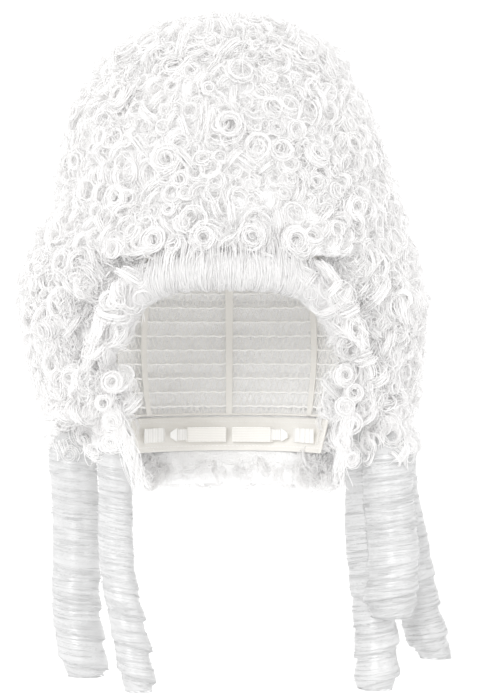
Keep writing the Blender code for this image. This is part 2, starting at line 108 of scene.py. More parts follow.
# ---- Hair ----
STRAND = 0.00021
SKIN_DEPTH = 0.0055
CORE_DEPTH = 0.0082
FACE_OVERHANG = 0.03
LOCK_POINTS = 15
LOCK_STRANDS = 10
LOCK_BAND = 0.0021
OPEN_BAND = 0.0019
OPEN_DEPTH = 0.0005
OPEN_TURNS = 1.6
OPEN_STRANDS = 12
LOCK_PLACES = 9000
FRIZZ_PLACES = 420
CURL_SPACING = 0.0071
CURL_RADIUS = (0.0036, 0.0072)
CURL_TURNS = (1.1, 2.0)
# The share of the curls whose ring faces out of the surface, and how far those stand proud.
FLAT_SHARE = 0.6
FLAT_LIFT = 0.0015
FILLER_DEPTH = 0.0072
FILLER_SPACING = 0.0080
FILLER_STRANDS = 4
FILLER_RADIUS = (0.0028, 0.0050)
FRIZZ_POINTS = 9
FRIZZ_RADIUS = (0.0012, 0.0040)
FLYAWAY_SPACING = 0.011
FLYAWAY_RADIUS = (0.002, 0.006)
FLYAWAY_TURNS = (0.3, 0.9)
FLYAWAY_BAND = 0.002
# Curls that lie flat with their rings open to the front: x, level, radius.
OPEN_CURLS = [
    (-0.040, -0.027, 0.0076),
    (-0.013, -0.026, 0.0080),
    (0.013, -0.026, 0.0076),
    (0.038, -0.027, 0.0080),
    (-0.040, 0.083, 0.0066),
    (0.001, 0.038, 0.0084),
    (-0.034, 0.019, 0.0084),
    (-0.058, 0.058, 0.0070),
    (0.022, 0.090, 0.0062),
    (0.050, 0.022, 0.0076),
    (-0.062, -0.002, 0.0078),
    (0.072, -0.008, 0.0074),
]

FRONT_ROLL_RADIUS = 0.0095
FRONT_ROLL_LEVEL = -0.0445
FRONT_ROLL_HALF_ANGLE = 44
FRONT_ROLL_ARCH = 0.0315
FRONT_ROLL_STRANDS = 1300
FRONT_ROLL_STRAND = 0.00026
ROLL_GAP = 0.0024

RINGLET_PIVOT = -0.131
RINGLET_NECK = 0.0035
RINGLET_PARTS = ("top", "radius", "low", "lean", "flick")
RINGLETS = {
    "right_front": ((-0.0666, -0.060), 0.0098, -0.283, 0.006, 0.010),
    "right_middle": ((-0.0920, -0.009), 0.0140, -0.282, 0.000, 0.007),
    "right_rear": ((-0.0930, 0.026), 0.0120, -0.266, 0.002, 0.000),
    "left_front": ((0.0928, -0.050), 0.0145, -0.242, 0.002, 0.000),
    "left_middle": ((0.0795, -0.021), 0.0125, -0.288, 0.008, 0.000),
    "left_rear": ((0.1010, 0.026), 0.0128, -0.276, 0.011, 0.015),
}
RINGLETS = {name: dict(zip(RINGLET_PARTS, values)) for name, values in RINGLETS.items()}
RINGLET_SHOULDER = 0.016
RINGLET_STRANDS = 760
RINGLET_POINTS = 30
RINGLET_PITCH = 0.018
RINGLET_TURNS = 1.3
RINGLET_STRAND = 0.00014
ROOT_CURLS = 26
ROOT_RADIUS = (0.0034, 0.0058)
ROOT_DROP = (-0.004, 0.019)
ROOT_TURNS = (1.1, 1.9)

# Curls over the roll: azimuths and section angles in degrees, share of the roll's radius, places tried.
ROLL_CURLS = [
    (-30, 30, 58, 150, 0.9, 500),
    (29, 47, -50, 150, 0.9, 500),
    (-47, -29, -50, 150, 0.9, 500),
    (35, 52, 0, 110, 1.8, 400),
    (-52, -35, 0, 110, 1.8, 400),
]
ROLL_CURL_SPACING = 0.0060
# Loose curls beside the eyes: x, y, level and radius of each ring; start, end and curl of the wisps.
TEMPLE_RINGS = {
    "left": [
        (0.0660, -0.0800, -0.102, 0.0058),
        (0.0710, -0.0770, -0.112, 0.0050),
        (0.0655, -0.0810, -0.120, 0.0050),
        (0.0700, -0.0790, -0.130, 0.0058),
        (0.0650, -0.0810, -0.139, 0.0048),
        (0.0690, -0.0790, -0.149, 0.0046),
    ],
    "right": [
        (-0.0650, -0.0800, -0.106, 0.0052),
        (-0.0700, -0.0780, -0.118, 0.0050),
        (-0.0645, -0.0810, -0.128, 0.0046),
        (-0.0660, -0.0800, -0.140, 0.0044),
    ],
}
TEMPLE_WISPS = {
    "left": ((0.0680, -0.0790, -0.118), (0.0615, -0.0830, -0.168), 0.0035),
    "right": ((-0.0640, -0.0790, -0.122), (-0.0440, -0.0850, -0.174), 0.0050),
}
WISP_STRANDS = 70
TEMPLE_STRANDS = 9

# ---- Cap, net form and their fittings: levels, then azimuths in degrees from the forehead ----
CAP_EDGE = [(45, -0.0345), (52.5, -0.075), (75, -0.075), (82.5, -0.095), (112.5, -0.095), (120, -0.1295)]
CAP_THICKNESS = 0.0012
FRONT_BAND = (-0.052, -0.036, -44, 44)
NAPE_BAND = (-0.152, -0.131, 120, 240)
EAR_TAPE = (-0.101, -0.0965, 84, 112)
EAR_TAB = (-0.112, -0.0765, 53, 75)
NAPE_CENTRE_Y = 0.0248
STRAP_RADIUS = 0.0545
STRAP_THICKNESS = 0.0009
STRAP_LEVELS = (-0.145, -0.138)
STRAP_ANGLES = (10, 37)
CASING_ANGLES = (2, 30)
CASING_MARGIN = 0.0013
CASING_DROP = 0.0022
CASING_RISE = 0.0006
CASING_WALL = 0.0007
POCKET_ANGLES = (46, 68)
POCKETS = 4
POCKET_MARGIN = 0.001
POCKET_REACH = 0.0018
POCKET_RISE = 0.0010
PAD_RADIUS = 0.026
PAD_THICKNESS = 0.0045
PAD_CROWN = 0.003
QUILT_WIDTH = 0.0012
QUILT_DEPTH = 0.0010
TIE_RADIUS = 0.0028
TIE_TOP = -0.1256
THREAD = 0.00022
STITCH_SINK = 0.00005
WEFT_PITCH = 0.009
WEFT_LEVELS = (0.002, -0.128)
WEFT_RADIUS = 0.0007
BINDING_RADIUS = 0.00075
DOME_SPREAD = 1.6
THREAD_LEAN = 1.15
THREAD_POINTS = 60
FORM_INSET = 0.0004
CAP_THREADS = 120
FORM_THREADS = 90
RIBBON_AZIMUTHS = (0, 30, 62, 98, 135, 180)
RIBBON_DROP = 0.0015

# ---- Camera and light ----
LENS = 110
CAMERA_AIM = Vector((0.006, 0.0, -0.088))
FRAME_HEIGHT = 0.420
LIGHT_BOUNCES = 28
SUN_SPREAD = 25
SKY_STRENGTH = 0.88
# Each light's name, the way it shines, and its strength.
SUNS = [
    ("key", (0.30, 1.0, -0.32), 1.55),
    ("fill", (-0.75, 0.8, -0.10), 0.5),
    ("back", (-0.2, -1.0, -0.35), 1.1),
    ("side", (1.0, -0.25, -0.35), 0.6),
]
EXPOSURE = 0.53
GAMMA = 1.70
WALL_PLACE = 4.0
WALL_BEND = 0.8
STAGE_REACH = 6.0
WAVES_PER_UNIT = 3.183


# ---- Surfaces, on arrays of azimuths in radians and of levels ----
def oval(half_width, half_length, azimuth, level, x=0.0, y=0.0):
    """Points on level ovals centred on x and y."""
    return np.stack(
        [half_width * np.sin(azimuth) + x, y - half_length * np.cos(azimuth), level + 0 * azimuth], -1
    )


def full_turn(sides):
    return np.arange(sides) * 2 * math.pi / sides


def head_surface(azimuth, level, offset=0.0):
    rise = np.clip((level - HEAD_WIDEST) / (CAP_TOP + offset - HEAD_WIDEST), 0, 1)
    dome = (1 - rise**DOME_POWER) ** (1 / DOME_POWER)
    taper = 1 - NAPE_TAPER * (np.clip(HEAD_WIDEST - level, 0, None) / NAPE_DROP) ** 2
    share = dome * taper
    return oval((HEAD_HALF_WIDTH + offset) * share, (HEAD_HALF_LENGTH + offset) * share, azimuth, level)


def tower_surface(azimuth, level, inset=0.0):
    rise = np.clip((level - TOWER_WIDEST) / (TOWER_TOP - TOWER_WIDEST), 0, 1)
    dome = np.sqrt(1 - rise**TOWER_ROUNDING)
    slope = SIDE_SLOPE * np.clip(TOWER_WIDEST - level, 0, None)
    half_width = TOWER_HALF_WIDTH * (1 - WIDTH_TAPER * rise) * dome - slope - inset
    half_length = TOWER_HALF_LENGTH * (1 - LENGTH_TAPER * rise) * dome - slope - inset
    fullness = np.interp(level, FULLNESS_LEVELS, FULLNESS) * dome * np.clip(-np.sin(azimuth), 0, 1) ** 2
    return oval(half_width, half_length, azimuth, level, -fullness, TOWER_BACK_SHIFT)


def net_surface(azimuth, level, offset=0.0):
    rise = np.clip((level - NET_BASE) / (NET_TOP - NET_BASE), 0, 1)
    dome = np.sqrt(1 - rise**NET_ROUNDING)
    half_width = NET_HALF_WIDTH * (1 - NET_TAPER * rise) * dome + offset
    half_length = NET_HALF_LENGTH * (1 - NET_LENGTH_TAPER * rise) * dome + offset
    return oval(half_width, half_length, azimuth, level)


def inner_surface(azimuth, level):
    """The inside of the hair: the cap, and the net form above it."""
    on_cap = (level < NET_BASE - CAP_OVERLAP)[..., None]
    on_form = net_surface(azimuth, level, UNDER_GAP / 2)
    return np.where(on_cap, head_surface(azimuth, level, UNDER_GAP), on_form)


def unit(vectors):
    return vectors / np.maximum(np.linalg.norm(vectors, axis=-1, keepdims=True), 1e-12)


def rounded_square(turn, power):
    """A square's two coordinates, from -1 to 1, with corners the rounder the nearer the power is to 1."""
    return [np.sign(wave) * np.abs(wave) ** power for wave in (np.cos(turn), np.sin(turn))]


# ---- Meshes ----
def lofts_mesh(name, rings, closed=False, tint=None, fibre=None):
    """A mesh of lofts. rings is (lofts, rings, sides, 3). closed joins the last ring to the first; otherwise
    both ends are capped. The points keep two things for the material: tint, one number per loft, and fibre,
    the distance along and across the hair, in metres."""
    lofts, count, sides = rings.shape[:3]
    index = np.arange(lofts * count * sides).reshape(lofts, count, sides)
    around = np.roll(index, -1, axis=2)
    if closed:
        a, b = index, np.roll(index, -1, axis=1)
        c, d = np.roll(around, -1, axis=1), around
    else:
        a, b, c, d = index[:, :-1], index[:, 1:], around[:, 1:], around[:, :-1]
    quads = np.stack([a, d, c, b], -1).reshape(-1, 4)
    caps = np.zeros((0, sides), int) if closed else np.concatenate([index[:, 0, ::-1], index[:, -1]])
    loops = np.concatenate([quads.ravel(), caps.ravel()])
    sizes = np.concatenate([np.full(len(quads), 4), np.full(len(caps), sides)])
    mesh = bpy.data.meshes.new(name)
    mesh.vertices.add(index.size)
    mesh.vertices.foreach_set("co", rings.astype(np.float32).ravel())
    mesh.loops.add(len(loops))
    mesh.loops.foreach_set("vertex_index", loops.astype(np.int32))
    mesh.polygons.add(len(sizes))
    starts = np.concatenate([[0], np.cumsum(sizes)[:-1]])
    mesh.polygons.foreach_set("loop_start", starts.astype(np.int32))
    mesh.update(calc_edges=True)
    lay_out(mesh, lofts, count if closed else count - 1, sides, len(quads))
    tint = np.full(lofts, 0.5) if tint is None else tint
    shade = mesh.attributes.new("tint", "FLOAT", "POINT")
    shade.data.foreach_set("value", np.repeat(tint, count * sides).astype(np.float32))
    grain = mesh.attributes.new("fibre", "FLOAT_VECTOR", "POINT")
    fibre = fibre_of(rings) if fibre is None else fibre
    grain.data.foreach_set("vector", fibre.astype(np.float32).ravel())
    mesh.validate()
    mesh.shade_smooth()
    return mesh


def fibre_of(rings):
    """Distances along each loft and half way round it, with a different start for each loft."""
    lofts, count, sides = rings.shape[:3]
    middles = rings.mean(axis=2)
    steps = np.linalg.norm(np.diff(middles, axis=1), axis=-1)
    along = np.concatenate([np.zeros((lofts, 1)), np.cumsum(steps, axis=1)], axis=1)
    girth = np.linalg.norm(rings[:, count // 2, 0] - rings[:, count // 2, sides // 2], axis=-1)
    across = np.abs(np.arange(sides) / sides * 2 - 1) * girth[:, None]
    fibre = np.zeros(rings.shape)
    fibre[..., 0] = along[:, :, None]
    fibre[..., 1] = across[:, None, :]
    fibre[..., 2] = (np.arange(lofts) * 0.0137)[:, None, None]
    return fibre


def lay_out(mesh, lofts, spans, sides, quads):
    """Lays every loft out in its own cell of the texture space, in a UV map named OFBake."""
    columns = max(1, round(math.sqrt(lofts / 4)))
    rows = math.ceil(lofts / columns)
    loft, span, side = np.unravel_index(np.arange(quads), (lofts, spans, sides))
    low_u, high_u = span / spans, (span + 1) / spans
    low_v, high_v = side / sides, (side + 1) / sides
    u = np.stack([low_u, low_u, high_u, high_u], -1)
    v = np.stack([low_v, high_v, high_v, low_v], -1)
    margin = 0.04
    cell_u = (loft // rows)[:, None] + margin + (1 - 2 * margin) * u
    cell_v = (loft % rows)[:, None] + margin + (1 - 2 * margin) * v
    uv = np.full((len(mesh.loops), 2), 0.5)
    uv[: 4 * quads] = np.stack([cell_u / columns, cell_v / rows], -1).reshape(-1, 2)
    mesh.uv_layers.new(name="OFBake").data.foreach_set("uv", uv.astype(np.float32).ravel())


def tube_rings(paths, radii, sides=3):
    """Rings round paths (tubes, points, 3) with radii (tubes, points), turning with the path, untwisted."""
    tangents = unit(np.gradient(paths, axis=1))
    sideways = [unit(np.cross(tangents[:, 0], [0.31, 0.42, 0.85]))]
    for step in range(1, paths.shape[1]):
        ahead = tangents[:, step]
        last = sideways[-1]
        sideways.append(unit(last - ahead * np.sum(last * ahead, -1, keepdims=True)))
    first = np.stack(sideways, 1)
    second = np.cross(tangents, first)
    angles = full_turn(sides)
    spread = first[:, :, None] * np.cos(angles)[:, None] + second[:, :, None] * np.sin(angles)[:, None]
    return paths[:, :, None] + spread * radii[:, :, None, None]


def cord(paths, radius, sides):
    return tube_rings(paths, np.full(paths.shape[:2], radius), sides)


def strand_radii(shape, rng, base=STRAND):
    """Strand radii that thin towards both ends."""
    count, points = shape
    along = np.linspace(0, 1, points)
    ends = np.clip(np.minimum(along, 1 - along) * 7 + 0.35, 0, 1)
    return base * rng.uniform(0.75, 1.2, (count, 1)) * ends


def add_piece(name, rings, material, slot, node, body="wig", **options):
    """Makes one piece of lofts that stands for a node. The options are those of lofts_mesh."""
    mesh = lofts_mesh(name, rings, **options)
    piece = bpy.data.objects.new(name, mesh)
    bpy.context.scene.collection.objects.link(piece)
    mesh.materials.append(material)
    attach(piece, body)
    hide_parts(node)


# ---- Scattering curls over a surface ----
class Spots:
    """Places for curls: points, their outward normals, and the directions along and up the surface."""

    def __init__(self, points, normals, along, up):
        self.points, self.normals, self.along, self.up = points, normals, along, up

    def pick(self, chosen):
        return Spots(self.points[chosen], self.normals[chosen], self.along[chosen], self.up[chosen])

    def __len__(self):
        return len(self.points)


def join_spots(sets):
    parts = ("points", "normals", "along", "up")
    return Spots(*[np.concatenate([getattr(spots, part) for spots in sets]) for part in parts])


def candidates(place, u_range, v_range, count, rng, flip=False):
    """Random places on a surface place(u, v), evenly spread over its area."""
    u = rng.uniform(*u_range, count)
    v = rng.uniform(*v_range, count)
    du = (u_range[1] - u_range[0]) * 1e-4
    dv = (v_range[1] - v_range[0]) * 1e-4
    points = place(u, v)
    by_u = (place(u + du, v) - place(u - du, v)) / (2 * du)
    by_v = (place(u, v + dv) - place(u, v - dv)) / (2 * dv)
    normals = np.cross(by_u, by_v) * (-1 if flip else 1)
    area = np.linalg.norm(normals, axis=-1)
    kept = rng.uniform(0, np.percentile(area, 99.5), count) < area
    return Spots(points, unit(normals), unit(by_u), unit(by_v)).pick(kept)


def thin_out(spots, spacing, fixed):
    """The spots that keep their spacing from those taken before them and from the fixed points."""
    taken = list(fixed)
    chosen = []
    grid = {}

    def cell(point):
        return tuple((point // spacing).astype(int))

    for point in taken:
        grid.setdefault(cell(point), []).append(point)
    for number, point in enumerate(spots.points):
        x, y, z = cell(point)
        near = [
            other
            for i in (-1, 0, 1)
            for j in (-1, 0, 1)
            for k in (-1, 0, 1)
            for other in grid.get((x + i, y + j, z + k), ())
        ]
        if near and np.min(np.sum((np.array(near) - point) ** 2, -1)) < spacing**2:
            continue
        grid.setdefault((x, y, z), []).append(point)
        chosen.append(number)
    return spots.pick(np.array(chosen))


def all_spots(rng, inset, spacing, density, fixed):
    """Places all over the hair: tower, crown, wider sides, the row ends at the face and the undersides."""
    turn = math.pi
    sets = []

    def outer(azimuth, level):
        return tower_surface(azimuth, level, inset)

    def through(azimuth, level, share):
        inside = inner_surface(azimuth, level)
        return inside * (1 - share[:, None]) + outer(azimuth, level) * share[:, None]

    def crown(azimuth, v):
        rise = np.sin(v) ** (1 / 3)
        level = TOWER_WIDEST + rise * (TOWER_TOP - TOWER_WIDEST)
        return tower_surface(azimuth, level) - np.stack([0 * v, 0 * v, inset * rise**8], -1)

    start = math.asin(CROWN_SHARE**3)
    top_level = TOWER_WIDEST + CROWN_SHARE * (TOWER_TOP - TOWER_WIDEST)
    sets.append(candidates(crown, (-turn, turn), (start, math.pi / 2 - 0.001), density, rng))
    sets.append(candidates(outer, (-turn, turn), (-0.033, top_level), 4 * density, rng))
    for middle, open_degrees in ROWS.values():
        if not open_degrees:
            continue
        low, high = middle - ROW_REACH, middle + ROW_REACH
        edge = math.radians(open_degrees)
        sets.append(candidates(outer, (edge, 2 * turn - edge), (low, high), density, rng))
        for sign in (1, -1):

            def end(share, level):
                return through(sign * (edge - FACE_OVERHANG) + 0 * share, level, share)

            sets.append(candidates(end, (0.05, 1.0), (low, high), density // 3, rng, flip=sign > 0))
    for middle, begin, finish in UNDERSIDES:

        def under(azimuth, share):
            return through(azimuth, middle + inset + 0 * azimuth, share)

        span = (math.radians(begin), math.radians(finish))
        sets.append(candidates(under, span, (0.05, 1.0), density // 3, rng, flip=True))
    joined = join_spots(sets)
    order = rng.permutation(len(joined))
    return thin_out(joined.pick(order), spacing, fixed) if spacing else joined


def open_curl_spots():
    """The places of the curls that lie flat and open, on the front of the hair."""
    x, level, _ = np.array(OPEN_CURLS).T
    azimuth = np.arcsin(x / np.max(tower_surface(np.full(len(x), math.pi / 2), level), axis=-1))
    points = tower_surface(azimuth, level, OPEN_DEPTH)
    step = 1e-4
    along = unit(tower_surface(azimuth + step, level, OPEN_DEPTH) - points)
    up = unit(tower_surface(azimuth, level + step, OPEN_DEPTH) - points)
    return Spots(points, unit(np.cross(along, up)), along, up)


def row_of(spots):
    """For each spot, the number of the row whose level is nearest."""
    levels = np.array([level for level, _ in ROWS.values()])
    return np.argmin(np.abs(spots.points[:, 2, None] - levels), axis=1)


# ---- Locks ----
def curl_axes(spots, flat, rng):
    """The direction each ring winds about: out of the surface where flat, otherwise roughly along it."""
    whirl = rng.uniform(-1, 1, (len(spots), 3))
    out = unit(spots.normals + 0.3 * whirl[:, :1] * spots.along + 0.3 * whirl[:, 1:2] * spots.up)
    level = unit(spots.along + 1.2 * whirl[:, 2:] * spots.up + 0.6 * whirl[:, 1:2] * spots.normals)
    return np.where(flat[:, None], out, level)


def curl_paths(spots, axis, radius, turns, strands, points, band, rng):
    """Paths (curls, strands, points, 3) of the strands of a lock at each spot. A lock comes up in a widening
    arc and winds inwards into a ring; its strands lie in a band, each a little astray."""
    count = len(spots)
    first = unit(np.cross(axis, spots.up + 0.2 * spots.normals))
    second = np.cross(axis, first)
    along = np.linspace(0, 1, points)[None, None]
    lead = np.clip(1 - along / 0.30, 0, 1)
    wound = np.clip((along - 0.30) / 0.70, 0, 1)
    each, own = (count, 1, 1), (count, strands, 1)
    hand = rng.choice([-1, 1], each)
    turn = turns[:, None, None] * rng.uniform(0.75, 1.15, own)
    angle = rng.uniform(0, 2 * math.pi, each) + rng.normal(0, 0.45, own) + hand * 2 * math.pi * turn * along
    loose = np.where(rng.uniform(0, 1, own) < 0.14, 1.9, 1.0)
    wave = rng.uniform(0, 2 * math.pi, own) + rng.uniform(2, 5, own) * along
    outwards = band * loose * (0.65 * rng.uniform(-1, 1, own) + 0.12 * np.cos(wave))
    sideways = band * loose * (rng.uniform(-1, 1, own) + 0.25 * np.sin(wave))
    size = radius[:, None, None] * (1 + 0.8 * lead**2 - rng.uniform(0.05, 0.50, each) * wound) + outwards
    drift = 0.0030 * (wound - 0.5) * rng.uniform(-1, 1, each)
    sink = 0.0060 * lead**1.4
    return (
        spots.points[:, None, None]
        + (size * np.cos(angle))[..., None] * first[:, None, None]
        + (size * np.sin(angle))[..., None] * second[:, None, None]
        + (sideways + drift)[..., None] * axis[:, None, None]
        - sink[..., None] * spots.normals[:, None, None]
    )


def curl_lofts(spots, radius, turns, flat, strands, points, band, rng):
    """The lofts of the strands of one lock at each spot, and a tint for each strand."""
    paths = curl_paths(spots, curl_axes(spots, flat, rng), radius, turns, strands, points, band, rng)
    paths = paths.reshape(-1, points, 3)
    lofts = tube_rings(paths, strand_radii(paths.shape[:2], rng))
    return lofts, np.repeat(rng.uniform(0, 1, len(spots)), strands) + rng.normal(0, 0.2, len(paths))


def wind_curls(rows, spots, radius, turns, flat, strands, points, band, rng):
    """Winds a lock of strands at each spot, and hands their lofts to the row they belong to."""
    lofts, tint = curl_lofts(spots, radius, turns, flat, strands, points, band, rng)
    owners = np.repeat(row_of(spots), strands)
    for number, row in enumerate(rows):
        row.append((lofts[owners == number], tint[owners == number]))


def hair_piece(name, gathered, material, node, body="wig"):
    lofts, tints = (np.concatenate(part) for part in zip(*gathered))
    add_piece(name, lofts, material, "hair", node, body, tint=tints)


def random_curls(rows, spots, sizes, strands, points, band, rng):
    count = len(spots)
    flat = rng.uniform(0, 1, count) < FLAT_SHARE
    spots.points = spots.points + spots.normals * np.where(flat, FLAT_LIFT, 0.0)[:, None]
    turns = rng.uniform(*CURL_TURNS, count)
    wind_curls(rows, spots, rng.uniform(*sizes, count), turns, flat, strands, points, band, rng)


def curl_rows(material):
    """Wound curls over every row, small tight ones under them, and fine frizz through both."""
    rng = np.random.default_rng(SEED)
    rows = [[] for _ in ROWS]
    opened = open_curl_spots()
    count = len(opened)
    sizes = np.array([radius for _, _, radius in OPEN_CURLS])
    for share in (1.0, 0.8, 0.6):
        turns, flat = np.full(count, OPEN_TURNS), np.ones(count, bool)
        wind_curls(rows, opened, share * sizes, turns, flat, OPEN_STRANDS, LOCK_POINTS, OPEN_BAND, rng)
    spots = all_spots(rng, SKIN_DEPTH, CURL_SPACING, LOCK_PLACES, opened.points)
    spots.points = spots.points + spots.normals * rng.uniform(-0.0020, 0.0030, (len(spots), 1))
    random_curls(rows, spots, CURL_RADIUS, LOCK_STRANDS, LOCK_POINTS, LOCK_BAND, rng)
    under = all_spots(rng, FILLER_DEPTH, FILLER_SPACING, LOCK_PLACES, [])
    random_curls(rows, under, FILLER_RADIUS, FILLER_STRANDS, LOCK_POINTS, LOCK_BAND, rng)

    frizz = [[] for _ in ROWS]
    for depth in (SKIN_DEPTH, FILLER_DEPTH):
        spots = all_spots(rng, depth, 0.0, FRIZZ_PLACES, [])
        spots.points = spots.points + spots.normals * rng.uniform(-0.003, 0.003, (len(spots), 1))
        random_curls(frizz, spots, FRIZZ_RADIUS, 2, FRIZZ_POINTS, LOCK_BAND, rng)
    stray = all_spots(rng, 0.0, FLYAWAY_SPACING, LOCK_PLACES, [])
    count = len(stray)
    turns, radius = rng.uniform(*FLYAWAY_TURNS, count), rng.uniform(*FLYAWAY_RADIUS, count)
    flat = np.zeros(count, bool)
    wind_curls(frizz, stray, radius, turns, flat, 2, FRIZZ_POINTS, FLYAWAY_BAND, rng)
    for name, locks, fine in zip(ROWS, rows, frizz):
        hair_piece(f"{name}.locks", locks, material, name)
        hair_piece(f"{name}.frizz", fine, material, name)


def row_cores(material):
    """The dense crimped hair in the middle of each row, which closes the gaps between the curls."""
    steps, sides = 160, 24
    section = full_turn(sides)
    rng = np.random.default_rng(SEED + 1)
    for name, (level, open_degrees) in ROWS.items():
        if name == "crown_curls":
            continue
        edge = math.radians(open_degrees + 4) if open_degrees else 0
        azimuth = np.linspace(edge, 2 * math.pi - edge, steps, endpoint=bool(open_degrees))
        share = np.linspace(0, 1, steps)
        fullness = np.minimum(1, 0.25 + 9 * np.minimum(share, 1 - share)) if open_degrees else np.ones(steps)
        across, upward = rounded_square(section, 0.6)
        heights = level + 0.60 * ROW_HEIGHT * fullness[:, None] * upward
        turn = np.repeat(azimuth[:, None], sides, 1)
        inner = inner_surface(turn, np.maximum(heights, level - ROW_HEIGHT / 2))
        inner[..., 2] = heights
        outer = tower_surface(turn, heights, CORE_DEPTH)
        ripple = 0.03 * np.sin(23 * turn + 3 * np.sin(5 * turn)) + rng.normal(0, 0.01, turn.shape)
        reach = 0.5 + 0.5 * fullness[:, None] * across * (1 + ripple)
        rings = inner + (outer - inner) * reach[..., None]
        add_piece(f"{name}.heart", rings[None], material, "hair", name, closed=not open_degrees)


def crown_core(material):
    steps, sides = 24, 96
    rise = np.sin(np.linspace(math.asin(CROWN_SHARE**3), math.pi / 2 - 0.02, steps)) ** (1 / 3)
    azimuth = -full_turn(sides)
    turn, level = np.meshgrid(azimuth, TOWER_WIDEST + rise * (TOWER_TOP - TOWER_WIDEST))
    rings = tower_surface(turn, level)
    rings = rings + ([0, TOWER_BACK_SHIFT, 0.03] - rings) * 0.14
    add_piece("crown_curls.heart", rings[None], material, "hair", "crown_curls")


def roll_level(azimuth):
    return FRONT_ROLL_LEVEL - FRONT_ROLL_ARCH * (azimuth / math.radians(FRONT_ROLL_HALF_ANGLE)) ** 4


def roll_centre(azimuth):
    return head_surface(azimuth, roll_level(azimuth), ROLL_GAP + FRONT_ROLL_RADIUS)


def front_roll(material):
    """Smooth hair combed up over the forehead roll; its last strands run on into the curls above."""
    rng = np.random.default_rng(SEED + 2)
    half = math.radians(FRONT_ROLL_HALF_ANGLE)
    count = FRONT_ROLL_STRANDS
    azimuth = rng.uniform(-half * 1.10, half * 1.10, (count, 1))
    along = np.linspace(0, 1, 20)[None]
    reach = np.where(rng.uniform(0, 1, (count, 1)) < 0.2, 215, 285)
    sweep = np.radians(-130 + rng.uniform(-15, 15, (count, 1))) + np.radians(reach) * along
    waviness = 0.006 * np.sin(7 * along + 25 * azimuth)
    waviness = waviness + 0.004 * np.sin(13 * along + rng.uniform(0, 6, (count, 1)))
    drift = azimuth + rng.normal(0, 0.03, (count, 1)) * along + waviness
    fullness = 1 - 0.30 * np.clip(np.abs(azimuth) / half, 0, 1.1) ** 8
    locks = 0.0005 * np.sin(70 * azimuth + 2 * np.sin(17 * azimuth))
    locks = locks + rng.uniform(-0.0006, 0.0005, (count, 1))
    size = FRONT_ROLL_RADIUS * fullness + locks
    centre = roll_centre(drift)
    out = unit(centre * [1, 1, 0])
    paths = centre + (size * np.cos(sweep))[..., None] * out
    loose = np.where(reach < 250, 1.0, 0.0) * np.clip((along - 0.62) / 0.38, 0, 1) ** 2
    paths[..., 2] += size * np.sin(sweep) * 1.08 + 0.010 * loose
    rings = tube_rings(paths, strand_radii(paths.shape[:2], rng, FRONT_ROLL_STRAND))
    add_piece("front_roll.combed", rings, material, "hair", "front_roll", tint=rng.uniform(0, 1, count))

    steps, sides = 60, 16
    azimuth = np.linspace(-half, half, steps)
    section = full_turn(sides)
    turn = np.repeat(azimuth[:, None], sides, 1)
    centre = roll_centre(turn)
    out = unit(centre * [1, 1, 0])
    size = FRONT_ROLL_RADIUS * 0.95 * np.clip(1 - (np.abs(azimuth) / half) ** 10 * 0.4, 0, 1)[:, None]
    rings = centre + (size * np.cos(section))[..., None] * out
    rings[..., 2] += 1.05 * size * np.sin(section)
    fibre = np.stack([size * section[None] + 0 * turn, turn * 0.1, 0 * turn], -1)
    add_piece("front_roll.heart", rings[None], material, "hair", "front_roll", fibre=fibre[None])


def roll_curls(material):
    """Curls that fall over the top of the forehead roll and over both its ends."""
    rng = np.random.default_rng(SEED + 3)

    sets = []
    for start, end, low, high, share, count in ROLL_CURLS:

        def over(azimuth, section):
            centre = roll_centre(azimuth)
            reach = share * FRONT_ROLL_RADIUS
            points = centre + (reach * np.cos(section))[:, None] * unit(centre * [1, 1, 0])
            points[:, 2] += reach * np.sin(section)
            return points

        sets.append(candidates(over, np.radians((start, end)), np.radians((low, high)), count, rng))
    spots = join_spots(sets)
    spots = thin_out(spots.pick(rng.permutation(len(spots))), ROLL_CURL_SPACING, [])
    count = len(spots)
    flat = rng.uniform(0, 1, count) < FLAT_SHARE
    turns = rng.uniform(*CURL_TURNS, count)
    radius = rng.uniform(*CURL_RADIUS, count)
    lofts = curl_lofts(spots, radius, turns, flat, LOCK_STRANDS, LOCK_POINTS, LOCK_BAND, rng)
    hair_piece("front_roll.curls", [lofts], material, "front_roll")


def ringlet_length(spec):
    return RINGLET_PIVOT - RINGLET_NECK - spec["low"]


def ringlet_hand(spec):
    """The way a ringlet winds: towards the face on both sides."""
    return 1 if spec["top"][0] < 0 else -1


def ringlet_axis(spec, drop):
    """The middle of a ringlet at drops below its pivot, as shares of its length."""
    x, y = spec["top"]
    sway = 0.0012 * np.sin(drop * 9 + x * 90)
    level = RINGLET_PIVOT - RINGLET_NECK - ringlet_length(spec) * drop
    return np.stack([x + spec["lean"] * drop + spec["flick"] * drop**3 + sway, y + 0 * drop, level], -1)


def ringlet_size(spec, drop, angle):
    """A ringlet's radius: shoulders at the top, a sausage, and its wound layers flaring towards the end."""
    length = ringlet_length(spec)
    shoulder = np.clip(drop * length / RINGLET_SHOULDER, 0, 1)
    body = RINGLET_NECK + (spec["radius"] - RINGLET_NECK) * np.sin(shoulder * math.pi / 2)
    wind = (drop * length / RINGLET_PITCH - angle / (2 * math.pi)) % 1
    end = np.clip((drop - 0.50) / 0.50, 0, 1)
    layers = 0.0003 + 0.0030 * end
    ripple = np.sin(drop * length / 0.0040 + 2 * np.sin(angle) + 3 * np.sin(9 * drop))
    swell = 0.0002 * ripple * (1 + 2 * end)
    tip = np.clip((1 - drop) * length / 0.012, 0, 1)
    return (body + layers * (wind - 0.45) + swell) * (0.72 + 0.28 * np.sin(tip * math.pi / 2))


